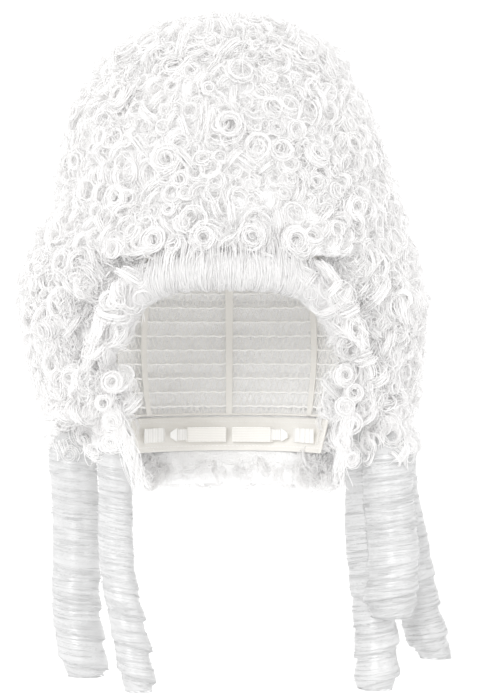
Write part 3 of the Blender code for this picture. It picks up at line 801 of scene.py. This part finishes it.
def ringlet_points(spec, drop, angle, lift=0.0):
    hand = ringlet_hand(spec)
    size = ringlet_size(spec, drop, angle * hand) + lift
    points = ringlet_axis(spec, drop)
    points[..., 0] += size * np.cos(angle)
    points[..., 1] += size * np.sin(angle)
    return points


def wound_strands(spec, rng):
    """Fine strands wound down the ringlet, nearly level, lying in its surface. Returns rings and tints."""
    length = ringlet_length(spec)
    hand = ringlet_hand(spec)
    own = (RINGLET_STRANDS, 1)
    fall = RINGLET_PITCH * rng.uniform(0.3, 0.9, own) / length
    turns = RINGLET_TURNS * rng.uniform(0.5, 1.2, own)
    along = np.linspace(0, 1, RINGLET_POINTS)[None]
    start = rng.uniform(-0.02, 0.99, own)
    drop = np.clip(start + turns * fall * along + rng.normal(0, 0.0012, own) * np.sin(9 * along), 0.0, 1.0)
    angle = rng.uniform(0, 2 * math.pi, own) + hand * 2 * math.pi * turns * along
    stray = np.where(rng.uniform(0, 1, own) < 0.20, rng.uniform(0.0005, 0.0017, own), 0.0)
    lift = rng.uniform(-0.00012, 0.00006, own) + stray * np.sin(4 * math.pi * along) ** 6
    paths = ringlet_points(spec, drop, angle, lift)
    rings = tube_rings(paths, strand_radii(paths.shape[:2], rng, RINGLET_STRAND))
    return rings, rng.uniform(0.3, 0.7, len(paths))


def ringlet_heart(spec):
    """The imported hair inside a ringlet. Returns its rings and fibre distances."""
    steps, sides = 190, 48
    length = ringlet_length(spec)
    drop = np.linspace(0.0, 0.995, steps)[:, None] + np.zeros((1, sides))
    angle = -full_turn(sides)[None] + np.zeros((steps, 1))
    hand = ringlet_hand(spec)
    around = np.abs(np.arange(sides) / sides * 2 - 1)[None] * math.pi * spec["radius"] + 0 * drop
    down = drop * length - hand * angle / (2 * math.pi) * 0.6 * RINGLET_PITCH
    fibre = np.stack([around, down, 0 * drop], -1)
    return ringlet_points(spec, drop, angle)[None], fibre[None]


def root_spots(spec, rng):
    """Places round a ringlet's top for the curls that hide where it is tied."""
    turn = rng.uniform(0, 2 * math.pi, ROOT_CURLS)
    drop = rng.uniform(*ROOT_DROP, ROOT_CURLS)
    reach = (0.55 + 0.50 * np.clip(drop / 0.012, 0, 1)) * spec["radius"]
    out = np.stack([np.cos(turn), np.sin(turn), 0 * turn], -1)
    x, y = spec["top"]
    points = np.array([x, y, RINGLET_PIVOT]) + out * reach[:, None]
    points = points - np.array([0, 0, 1]) * drop[:, None]
    up = np.tile([0.0, 0.0, 1.0], (ROOT_CURLS, 1))
    return Spots(points, out, np.cross(up, out), up)


def ringlets(material, curly):
    for number, (name, spec) in enumerate(RINGLETS.items()):
        rng = np.random.default_rng(SEED + 20 + number)
        node, body = f"ringlet_{name}", f"ringlet_{name}_body"
        rings, fibre = ringlet_heart(spec)
        add_piece(f"{node}.heart", rings, material, "hair", node, body, fibre=fibre)
        rings, tint = wound_strands(spec, rng)
        add_piece(f"{node}.wound", rings, material, "hair", node, body, tint=tint)
        spots = root_spots(spec, rng)
        radius = rng.uniform(*ROOT_RADIUS, ROOT_CURLS)
        flat = rng.uniform(0, 1, ROOT_CURLS) < FLAT_SHARE
        turns = rng.uniform(*ROOT_TURNS, ROOT_CURLS)
        lofts = curl_lofts(spots, radius, turns, flat, LOCK_STRANDS, LOCK_POINTS, LOCK_BAND, rng)
        hair_piece(f"{node}.roots", [lofts], curly, node, body)


def temple_curls(material):
    """Loose ring curls beside the eyes, and the fine wisps that fall from them onto the cheeks."""
    for side, rings in TEMPLE_RINGS.items():
        rng = np.random.default_rng(SEED + 40 + len(rings))
        x, y, level, radius = np.array(rings).T
        out = unit(np.stack([0.35 * np.sign(x), -1 + 0 * x, 0 * x], -1))
        up = np.tile([0.0, 0.0, 1.0], (len(rings), 1))
        spots = Spots(np.stack([x, y, level], -1), out, np.cross(up, out), up)
        flat, turns = np.ones(len(rings), bool), np.full(len(rings), OPEN_TURNS)
        gathered = []
        for share in (1.0, 0.65):
            shape = (share * radius, turns, flat, TEMPLE_STRANDS, LOCK_POINTS, OPEN_BAND)
            gathered.append(curl_lofts(spots, *shape, rng))
        start, end, curl = TEMPLE_WISPS[side]
        own = (WISP_STRANDS, 1)
        along = np.linspace(0, 1, LOCK_POINTS)[None] * rng.uniform(0.5, 1.0, own)
        phase = rng.uniform(0, 2 * math.pi, own)
        size = curl * rng.uniform(0.3, 1.0, own) * (0.3 + along)
        wave = phase + rng.uniform(5, 11, own) * along
        line = np.array(start) + (np.array(end) - start) * along[..., None]
        line[..., 0] += size * np.cos(wave) + rng.normal(0, 0.0016, own)
        line[..., 1] += -0.0012 + 0.3 * size * np.sin(0.7 * wave)
        line[..., 2] += size * np.sin(wave) + rng.normal(0, 0.003, own)
        tubes = tube_rings(line, strand_radii(line.shape[:2], rng, RINGLET_STRAND))
        gathered.append((tubes, rng.uniform(0, 1, WISP_STRANDS)))
        hair_piece(f"temple_curls_{side}.locks", gathered, material, f"temple_curls_{side}")


# ---- Cap, net form and their fittings ----
def padded_strip(name, place, steps, width, thickness, material, slot, node, body="wig", power=0.35):
    """A soft flat strip with rounded edges. place(u, v, lift) gives its points, u along it and v across it
    from 0 to 1, lift above its underside. Its fibre is the distance along and across."""
    sides = 20
    section = full_turn(sides)
    across, height = (0.5 + 0.5 * part for part in rounded_square(section, power))
    u, v = np.meshgrid(np.linspace(0, 1, steps), across, indexing="ij")
    rings = place(u, v, thickness * height[None] + 0 * u)
    middle = rings.mean(axis=1)
    along = np.concatenate([[0], np.cumsum(np.linalg.norm(np.diff(middle, axis=0), axis=-1))])
    fibre = np.stack([along[:, None] + 0 * v, v * width, 0 * v], -1)
    add_piece(name, rings[None], material, slot, node, body, fibre=fibre[None])


def on_head(start, end, low, high, base=0.0):
    """A place function for a strip on the head between two azimuths in degrees and two levels."""

    def place(u, v, lift):
        return head_surface(np.radians(start + (end - start) * u), low + (high - low) * v, base + lift)

    return place


def on_arc(start, end, levels, radius):
    """A place function for a strip on the arc that the nape adjusters travel on."""

    def place(u, v, lift):
        angle = np.radians(start + (end - start) * u)
        level = levels[0] + (levels[1] - levels[0]) * v
        reach = radius + lift
        return np.stack([reach * np.sin(angle), NAPE_CENTRE_Y + reach * np.cos(angle), level], -1)

    return place


def stitches(name, place, v, length, thread, slot, node, body="wig", pitch=0.0032, lift=-STITCH_SINK):
    """A row of little thread stitches along a strip, v of the way across it."""
    count = max(2, int(length / pitch))
    starts = (np.arange(count) + 0.2) / count
    u = starts[:, None] + np.linspace(0, 0.6, 5)[None] / count
    bow = np.sin(np.linspace(0, math.pi, 5))[None] * 0.00025 + 0 * u
    add_piece(name, cord(place(u, v + 0 * u, lift + bow), THREAD, 6), thread, slot, node, body)


def strip_piece(node, place, steps, length, width, material, thread, slot):
    """A strip with a line of stitches near each of its edges."""
    padded_strip(f"{node}.tape", place, steps, width, CAP_THICKNESS, material, slot, node)
    for edge, v in (("low", 0.14), ("high", 0.86)):
        stitches(f"{node}.stitches_{edge}", place, v, length, thread, slot, node)


def lattice(node, place, threads, material):
    """A diamond net: threads that cross as they run down a surface place(azimuth, share)."""
    share = np.linspace(0.02, 1, THREAD_POINTS)[None]
    starts = np.arange(threads)[:, None] * 2 * math.pi / threads
    for lean, way in ((1, "right"), (-1, "left")):
        paths = place(starts + lean * THREAD_LEAN * share, share + 0 * starts)
        add_piece(f"{node}.threads_{way}", cord(paths, THREAD, 4), material, "net", node)


def cap_edge(azimuth):
    """The level of the cap's lower edge."""
    degrees = np.abs((np.degrees(azimuth) + 180) % 360 - 180)
    return np.interp(degrees, *zip(*CAP_EDGE))


def cap(material, ribbon, thread):
    """The cap seen from inside: net, rows of sewn wefts, ribbons from front to back and a bound edge."""

    def net(azimuth, share):
        level = CAP_TOP + (cap_edge(azimuth) - CAP_TOP) * share**DOME_SPREAD
        return head_surface(azimuth, level, CAP_THICKNESS / 2)

    lattice("cap_net", net, CAP_THREADS, material)
    turn = np.linspace(-math.pi, math.pi, 181)[None]
    wefts = []
    for level in np.arange(*WEFT_LEVELS, -WEFT_PITCH):
        inside = cap_edge(turn) < level - 0.002
        runs = np.split(turn[inside], np.flatnonzero(np.diff(np.flatnonzero(inside[0])) > 1) + 1)
        for run in runs:
            if len(run) > 4:
                spread = np.linspace(run[0], run[-1], 160)[None]
                path = head_surface(spread, level + 0.0003 * np.sin(60 * spread), CAP_THICKNESS * 0.8)
                wefts.append(cord(path, WEFT_RADIUS, 8))
    add_piece("cap_net.wefts", np.concatenate(wefts), thread, "net", "cap_net")
    edge = np.linspace(-math.pi, math.pi, 400, endpoint=False)[None]
    path = head_surface(edge, cap_edge(edge) + 0.0004, CAP_THICKNESS / 2)
    add_piece("cap_net.binding", cord(path, BINDING_RADIUS, 8), ribbon, "net", "cap_net", closed=True)
    directions = sorted({sign * azimuth % 360 for azimuth in RIBBON_AZIMUTHS for _, sign in SIDES})
    for number, degrees in enumerate(directions):
        azimuth = math.radians(degrees)
        low = float(cap_edge(np.array(azimuth)))

        def place(u, v, lift):
            level = CAP_TOP - RIBBON_DROP + (low - CAP_TOP + RIBBON_DROP) * u**DOME_SPREAD
            spread = 0.0024 / (0.012 + 0.075 * np.sqrt(np.clip(u, 0, 1)))
            return head_surface(azimuth + spread * (2 * v - 1), level, lift - 0.0004)

        padded_strip(f"cap_net.ribbon_{number + 1}", place, 40, 0.005, 0.0007, ribbon, "net", "cap_net")


def form(material, ribbon):
    """The net form inside the tower, with its bound lower edge."""

    def net(azimuth, share):
        return net_surface(azimuth, NET_TOP - (NET_TOP - NET_BASE) * share**1.5, -FORM_INSET)

    lattice("tower_net", net, FORM_THREADS, material)
    edge = np.linspace(-math.pi, math.pi, 300, endpoint=False)[None]
    path = net_surface(edge, NET_BASE + 0.0006 + 0 * edge, -FORM_INSET)
    add_piece("tower_net.binding", cord(path, 0.0008, 8), ribbon, "net", "tower_net", closed=True)


def bands(cotton, elastic, thread):
    """The woven bands at the forehead and the nape, and the elastic tapes and padded tabs at the ears."""
    strips = [("front_band", FRONT_BAND, 1, 60, 0.13, cotton, "cotton")]
    strips += [("nape_band", NAPE_BAND, 1, 80, 0.17, cotton, "cotton")]
    strips += [(f"ear_tape_{side}", EAR_TAPE, sign, 30, 0.042, elastic, "elastic") for side, sign in SIDES]
    for node, (low, high, start, end), sign, steps, length, material, slot in strips:
        place = on_head(sign * start, sign * end, low, high)
        strip_piece(node, place, steps, length, high - low, material, thread, slot)
    for side, sign in SIDES:
        ear_tab(side, sign, cotton, thread)


def ear_tab(side, sign, material, thread):
    """A padded tab, narrower at its rounded lower end, stitched down both sides of the stay."""
    low, high, start, end = EAR_TAB
    node, body = f"ear_tab_{side}", f"ear_tab_{side}_body"

    def place(u, v, lift):
        rounding = 0.5 * (end - start) * (1 - np.sqrt(np.clip(1 - np.clip(1 - u / 0.22, 0, 1) ** 2, 0, 1)))
        inset = 5 * (1 - u) + 0.8 * rounding
        azimuth = start + inset + (end - start - 2 * inset) * v
        return head_surface(np.radians(sign * azimuth), low + (high - low) * u, lift)

    padded_strip(f"{node}.tab", place, 40, 0.026, CAP_THICKNESS, material, "cotton", node, body, 0.5)
    for number, v in enumerate((0.12, 0.42, 0.58, 0.88)):
        name = f"{node}.stitches_{number + 1}"
        stitches(name, place, v, high - low, thread, "cotton", node, body, 0.0026)


def adjusters(cotton, elastic, thread):
    """Ribbed elastic straps, the stitched sleeves they slide in, and the looped tape they hook to."""
    low, high = STRAP_LEVELS
    for side, sign in SIDES:
        start, end = (sign * angle for angle in STRAP_ANGLES)
        node, body = f"adjuster_strap_{side}", f"adjuster_{side}_body"
        place = on_arc(start, end, STRAP_LEVELS, STRAP_RADIUS - STRAP_THICKNESS)
        width = high - low
        padded_strip(f"{node}.tape", place, 40, width, STRAP_THICKNESS, elastic, "elastic", node, body)
        start, end = (sign * angle for angle in CASING_ANGLES)
        node = f"adjuster_casing_{side}"
        edges = (low - CASING_MARGIN, high + CASING_MARGIN)
        inside = on_arc(start, end, edges, STRAP_RADIUS - CASING_DROP)
        outside = on_arc(start, end, edges, STRAP_RADIUS + CASING_RISE)
        for wall, place in (("inner", inside), ("outer", outside)):
            padded_strip(f"{node}.{wall}", place, 40, width, CASING_WALL, cotton, "cotton", node)
        for number, v in enumerate((0.05, 0.95)):
            stitches(f"{node}.seam_{number + 1}", inside, v, 0.027, thread, "cotton", node, pitch=0.0024)
        pockets(side, sign, elastic, thread)


def pockets(side, sign, elastic, thread):
    """A tape sewn down at intervals, so that it stands up in loops between the seams."""
    start, end = (sign * angle for angle in POCKET_ANGLES)
    levels = (STRAP_LEVELS[0] - POCKET_MARGIN, STRAP_LEVELS[1] + POCKET_MARGIN)
    node = f"adjuster_pockets_{side}"
    flat = on_arc(start, end, levels, STRAP_RADIUS + POCKET_REACH)

    def place(u, v, lift):
        return flat(u, v, lift - POCKET_RISE * np.sin(math.pi * POCKETS * u) ** 2)

    padded_strip(f"{node}.tape", place, 80, levels[1] - levels[0], 0.0006, elastic, "elastic", node)

    def seams(u, v, lift):
        return flat(v, u, lift)

    for number in range(POCKETS + 1):
        v = min(0.98, max(0.02, number / POCKETS))
        name = f"{node}.seam_{number + 1}"
        stitches(name, seams, v, 0.009, thread, "elastic", node, pitch=0.0018, lift=0.0)


def crown_pad(felt, thread):
    """The soft disc under the crown: flat below, crowned above, with a rolled edge and a quilted cross."""
    steps, sides = 40, 72
    turn = full_turn(sides)
    path = np.linspace(0, 1, steps)
    share = np.where(path < 0.5, path * 2, 2 - path * 2)
    reach = PAD_RADIUS * np.sin(share * math.pi / 2) ** 0.8
    top = path >= 0.5
    ring, azimuth = np.meshgrid(np.arange(steps), turn, indexing="ij")
    r = reach[ring]
    radial = r / PAD_RADIUS
    lines = (r * np.sin(azimuth), r * np.cos(azimuth))
    quilt = sum(np.exp(-(line**2) / QUILT_WIDTH**2) for line in lines)
    edge = np.sqrt(np.clip(1 - radial**6, 0, 1))
    height = PAD_THICKNESS / 2 + PAD_CROWN * (1 - radial**2) - QUILT_DEPTH * quilt
    crowned = PAD_THICKNESS / 2 + height * edge
    under = PAD_THICKNESS / 2 * (1 - edge)
    level = np.where(top[ring], crowned, under)
    rings = np.stack([r * np.sin(azimuth), r * np.cos(azimuth), level], -1)
    add_piece("crown_pad.felt", rings[None], felt, "foam", "crown_pad", fibre=rings[None])
    around = np.linspace(-math.pi, math.pi, 120, endpoint=False)[None]
    reach = PAD_RADIUS * 0.985
    level = PAD_THICKNESS / 2 + 0.0004 * np.sin(40 * around)
    path = np.stack([reach * np.sin(around), reach * np.cos(around), level], -1)
    add_piece("crown_pad.seam", cord(path, 0.0006, 6), thread, "foam", "crown_pad", closed=True)


def ringlet_ties(thread):
    """The bound stalk of each ringlet: thread wound round and round, over a knot."""
    steps, sides = 70, 14
    turn = full_turn(sides)
    share = np.linspace(0, 1, steps)[:, None]
    for name, spec in RINGLETS.items():
        x, y = spec["top"]
        low, high = RINGLET_PIVOT - TIE_RADIUS, TIE_TOP
        level = low + (high - low) * share + 0 * turn[None]
        knot = np.sqrt(np.clip(1 - ((level - RINGLET_PIVOT) / TIE_RADIUS) ** 2, 0.12, 1))
        stalk = np.where(level > RINGLET_PIVOT, 0.55, 0.0)
        wound = 1 + 0.06 * np.sin((level - low) * 2 * math.pi / 0.0007 + turn[None])
        size = TIE_RADIUS * np.maximum(0.95 * knot, stalk) * wound
        rings = np.stack([x + size * np.cos(-turn)[None], y + size * np.sin(-turn)[None], level], -1)
        node = f"ringlet_tie_{name}"
        add_piece(f"{node}.binding", rings[None], thread, "cotton", node)


# ---- Materials ----
def principled(name):
    material = bpy.data.materials.new(name)
    material.use_nodes = True
    return material, material.node_tree.nodes, material.node_tree.links


def ramp(nodes, stops):
    node = nodes.new("ShaderNodeValToRGB")
    for element, (position, colour) in zip(node.color_ramp.elements, stops):
        element.position, element.color = position, (*colour, 1)
    return node


def math_node(nodes, operation, *values):
    node = nodes.new("ShaderNodeMath")
    node.operation = operation
    for socket, value in zip(node.inputs, values):
        if value is not None:
            socket.default_value = value
    return node


def fibre_space(nodes):
    grain = nodes.new("ShaderNodeAttribute")
    grain.attribute_name = "fibre"
    return grain.outputs["Vector"]


def noise_of(nodes, links, vector, scale, detail, distortion=0.0):
    noise = nodes.new("ShaderNodeTexNoise")
    noise.inputs["Scale"].default_value = scale
    noise.inputs["Detail"].default_value = detail
    noise.inputs["Distortion"].default_value = distortion
    links.new(vector, noise.inputs["Vector"])
    return noise.outputs["Fac"]


def dress(nodes, links, shade, stops, height, roughness, strength, depth):
    """Colours a surface by one value and raises its relief by another. Returns the colours."""
    surface = nodes["Principled BSDF"]
    colours = ramp(nodes, stops)
    links.new(shade, colours.inputs["Fac"])
    links.new(colours.outputs["Color"], surface.inputs["Base Color"])
    surface.inputs["Roughness"].default_value = roughness
    bump = nodes.new("ShaderNodeBump")
    bump.inputs["Strength"].default_value = strength
    bump.inputs["Distance"].default_value = depth
    links.new(height, bump.inputs["Height"])
    links.new(bump.outputs["Normal"], surface.inputs["Normal"])
    return colours.outputs["Color"]


def hair_material(name, dark, light, gloss, relief=0.6, through_share=0.50):
    """White synthetic fibre: each lock a slightly different white, fine streaks along it, a soft gloss, and
    light that passes through the thin hairs. Given greyer colours, it makes the copies of the fibre that
    carry painted shade."""
    material, nodes, links = principled(name)
    tint = nodes.new("ShaderNodeAttribute")
    tint.attribute_name = "tint"
    stretch = nodes.new("ShaderNodeMapping")
    stretch.inputs["Scale"].default_value = (90, 2600, 1000)
    links.new(fibre_space(nodes), stretch.inputs["Vector"])
    streaks = noise_of(nodes, links, stretch.outputs["Vector"], 1.0, 1.0)
    blend = math_node(nodes, "MULTIPLY_ADD", None, 0.6, None)
    links.new(tint.outputs["Fac"], blend.inputs[0])
    spread = math_node(nodes, "MULTIPLY", None, 0.7)
    links.new(streaks, spread.inputs[0])
    links.new(spread.outputs["Value"], blend.inputs[2])
    stops = [(0.2, dark), (1.0, light)]
    colour = dress(nodes, links, blend.outputs["Value"], stops, streaks, 0.36, relief, 0.0003)
    surface = nodes["Principled BSDF"]
    surface.inputs["Specular IOR Level"].default_value = gloss
    through = nodes.new("ShaderNodeBsdfTranslucent")
    links.new(colour, through.inputs["Color"])
    mix = nodes.new("ShaderNodeMixShader")
    mix.inputs["Fac"].default_value = through_share
    links.new(surface.outputs["BSDF"], mix.inputs[1])
    links.new(through.outputs["BSDF"], mix.inputs[2])
    links.new(mix.outputs["Shader"], nodes["Material Output"].inputs["Surface"])
    return material


def textile(name, dark, light, along, across, roughness, depth):
    """Woven cloth on a strip's fibre distances: along and across are the threads per metre each way."""
    material, nodes, links = principled(name)
    vector = fibre_space(nodes)
    weave = math_node(nodes, "MULTIPLY")
    for number, (axis, count) in enumerate((("X", along), ("Y", across))):
        threads = nodes.new("ShaderNodeTexWave")
        threads.bands_direction = axis
        threads.inputs["Scale"].default_value = count / WAVES_PER_UNIT
        threads.inputs["Distortion"].default_value = 0.6
        links.new(vector, threads.inputs["Vector"])
        links.new(threads.outputs["Fac"], weave.inputs[number])
    woven = weave.outputs["Value"]
    dress(nodes, links, woven, [(0.0, dark), (0.7, light)], woven, roughness, 0.8, depth)
    return material


def mottled(name, dark, light, scale, roughness, metallic=0, strength=0.5, depth=0.0002, detail=4, twist=0):
    """A colour and a relief that follow a fine noise: packed hair, thread, felt, plastic or drawn wire."""
    material, nodes, links = principled(name)
    place = nodes.new("ShaderNodeTexCoord")
    noise = noise_of(nodes, links, place.outputs["Object"], scale, detail, twist)
    dress(nodes, links, noise, [(0.3, dark), (0.7, light)], noise, roughness, strength, depth)
    nodes["Principled BSDF"].inputs["Metallic"].default_value = metallic
    return material


def finish_fittings():
    """Gives the fittings that show as they are in the frame, the combs, hooks and wires, their materials."""
    plastic = mottled("clear_plastic", (0.80, 0.79, 0.76), (0.88, 0.87, 0.84), 300, 0.28, depth=0.00005)
    wire = mottled("sprung_wire", (0.55, 0.55, 0.56), (0.72, 0.72, 0.74), 900, 0.30, 1.0, depth=0.00005)
    for name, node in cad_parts.items():
        if name.startswith(("comb_", "adjuster_hook_")):
            node.data.materials[0] = plastic
        if name.startswith(("hoop_", "rib_", "ear_tab_stay_")):
            node.data.materials[0] = wire


# ---- Studio ----
def studio():
    """An even white room, with soft lights from the camera's side, from behind and from both sides."""
    world = bpy.data.worlds.new("studio")
    bpy.context.scene.world = world
    world.use_nodes = True
    sky = world.node_tree.nodes["Background"]
    sky.inputs["Color"].default_value = (1, 1, 1, 1)
    sky.inputs["Strength"].default_value = SKY_STRENGTH
    for name, toward, strength in SUNS:
        light = bpy.data.lights.new(name, "SUN")
        light.angle = math.radians(SUN_SPREAD)
        light.energy = strength
        lamp = bpy.data.objects.new(name, light)
        bpy.context.scene.collection.objects.link(lamp)
        lamp.rotation_mode = "QUATERNION"
        lamp.rotation_quaternion = Vector(toward).to_track_quat("-Z", "Y")


def backdrop():
    """A seamless pale floor and wall."""
    steps = 16
    floor = CAD_LOW.z - 0.07
    angles = np.linspace(0, math.pi / 2, steps)
    bend = [(WALL_PLACE + WALL_BEND * math.sin(a), floor + WALL_BEND * (1 - math.cos(a))) for a in angles]
    profile = [(-STAGE_REACH, floor)] + bend + [(WALL_PLACE + WALL_BEND, STAGE_REACH)]
    points = [(x, y, z) for x in (-STAGE_REACH, STAGE_REACH) for y, z in profile]
    count = len(profile)
    faces = [(i, i + 1, count + i + 1, count + i) for i in range(count - 1)]
    mesh = bpy.data.meshes.new("backdrop")
    mesh.from_pydata(points, [], faces)
    mesh.shade_smooth()
    sweep = bpy.data.objects.new("backdrop", mesh)
    bpy.context.scene.collection.objects.link(sweep)
    material, nodes, _ = principled("backdrop_paper")
    nodes["Principled BSDF"].inputs["Base Color"].default_value = (0.97, 0.97, 0.97, 1)
    nodes["Principled BSDF"].inputs["Roughness"].default_value = 0.9
    mesh.materials.append(material)


def camera():
    lens = bpy.data.cameras.new("camera")
    lens.lens = LENS
    lens.sensor_fit = "VERTICAL"
    lens.sensor_height = 36
    lens.sensor_width = 36
    eye = bpy.data.objects.new("camera", lens)
    bpy.context.scene.collection.objects.link(eye)
    distance = FRAME_HEIGHT / 2 / (lens.sensor_height / 2 / LENS)
    eye.location = CAMERA_AIM + Vector((0, -distance, 0))
    eye.rotation_euler = (math.pi / 2, 0, 0)
    bpy.context.scene.camera = eye


def main():
    view = bpy.context.scene.view_settings
    view.view_transform = "Standard"
    view.exposure = EXPOSURE
    view.gamma = GAMMA
    cycles = bpy.context.scene.cycles
    cycles.max_bounces = LIGHT_BOUNCES
    cycles.diffuse_bounces = LIGHT_BOUNCES
    cycles.transmission_bounces = LIGHT_BOUNCES
    hair = hair_material("white_fibre", (0.985, 0.979, 0.975), (1.0, 0.995, 0.991), 0.5)
    # The roll is the same white hair as the curls: its greyer base colour is painted shade, so the smooth
    # roll reads no brighter than the curls.
    combed = hair_material("combed_fibre_painted_shade", (0.84, 0.832, 0.828), (0.96, 0.955, 0.95), 0.6)
    # The ringlets are the same white hair: the satin fibre's grey base colour is painted shade, so the
    # smooth ringlets read greyer than the curls.
    satin_painted_shade = hair_material("satin_fibre_painted_shade", (0.40, 0.401, 0.402), (0.48, 0.482, 0.483), 1.0, 0.12, 0.12)
    whites = ((0.96, 0.957, 0.955), (1.0, 0.998, 0.997))
    crimp = mottled("crimped_fibre", *whites, 420, 0.5, strength=0.9, depth=0.0015, detail=3, twist=3.5)
    row_cores(crimp)
    crown_core(crimp)
    curl_rows(hair)
    front_roll(combed)
    roll_curls(hair)
    ringlets(satin_painted_shade, hair)
    temple_curls(hair)
    thread = mottled("sewing_thread", (0.80, 0.79, 0.76), (0.93, 0.92, 0.90), 1500, 0.7)
    netting = mottled("netting", (0.80, 0.78, 0.73), (0.90, 0.88, 0.84), 1200, 0.75)
    cotton = textile("cotton_tape", (0.66, 0.63, 0.57), (0.88, 0.86, 0.81), 1300, 1300, 0.9, 0.00015)
    elastic = textile("ribbed_elastic", (0.68, 0.66, 0.62), (0.92, 0.91, 0.88), 500, 1400, 0.7, 0.00025)
    felt = mottled("felt", (0.78, 0.75, 0.68), (0.90, 0.88, 0.82), 700, 0.95, depth=0.0006)
    cap(netting, cotton, thread)
    form(netting, cotton)
    bands(cotton, elastic, thread)
    adjusters(cotton, elastic, thread)
    crown_pad(felt, thread)
    ringlet_ties(thread)
    finish_fittings()
    studio()
    backdrop()
    camera()


main()
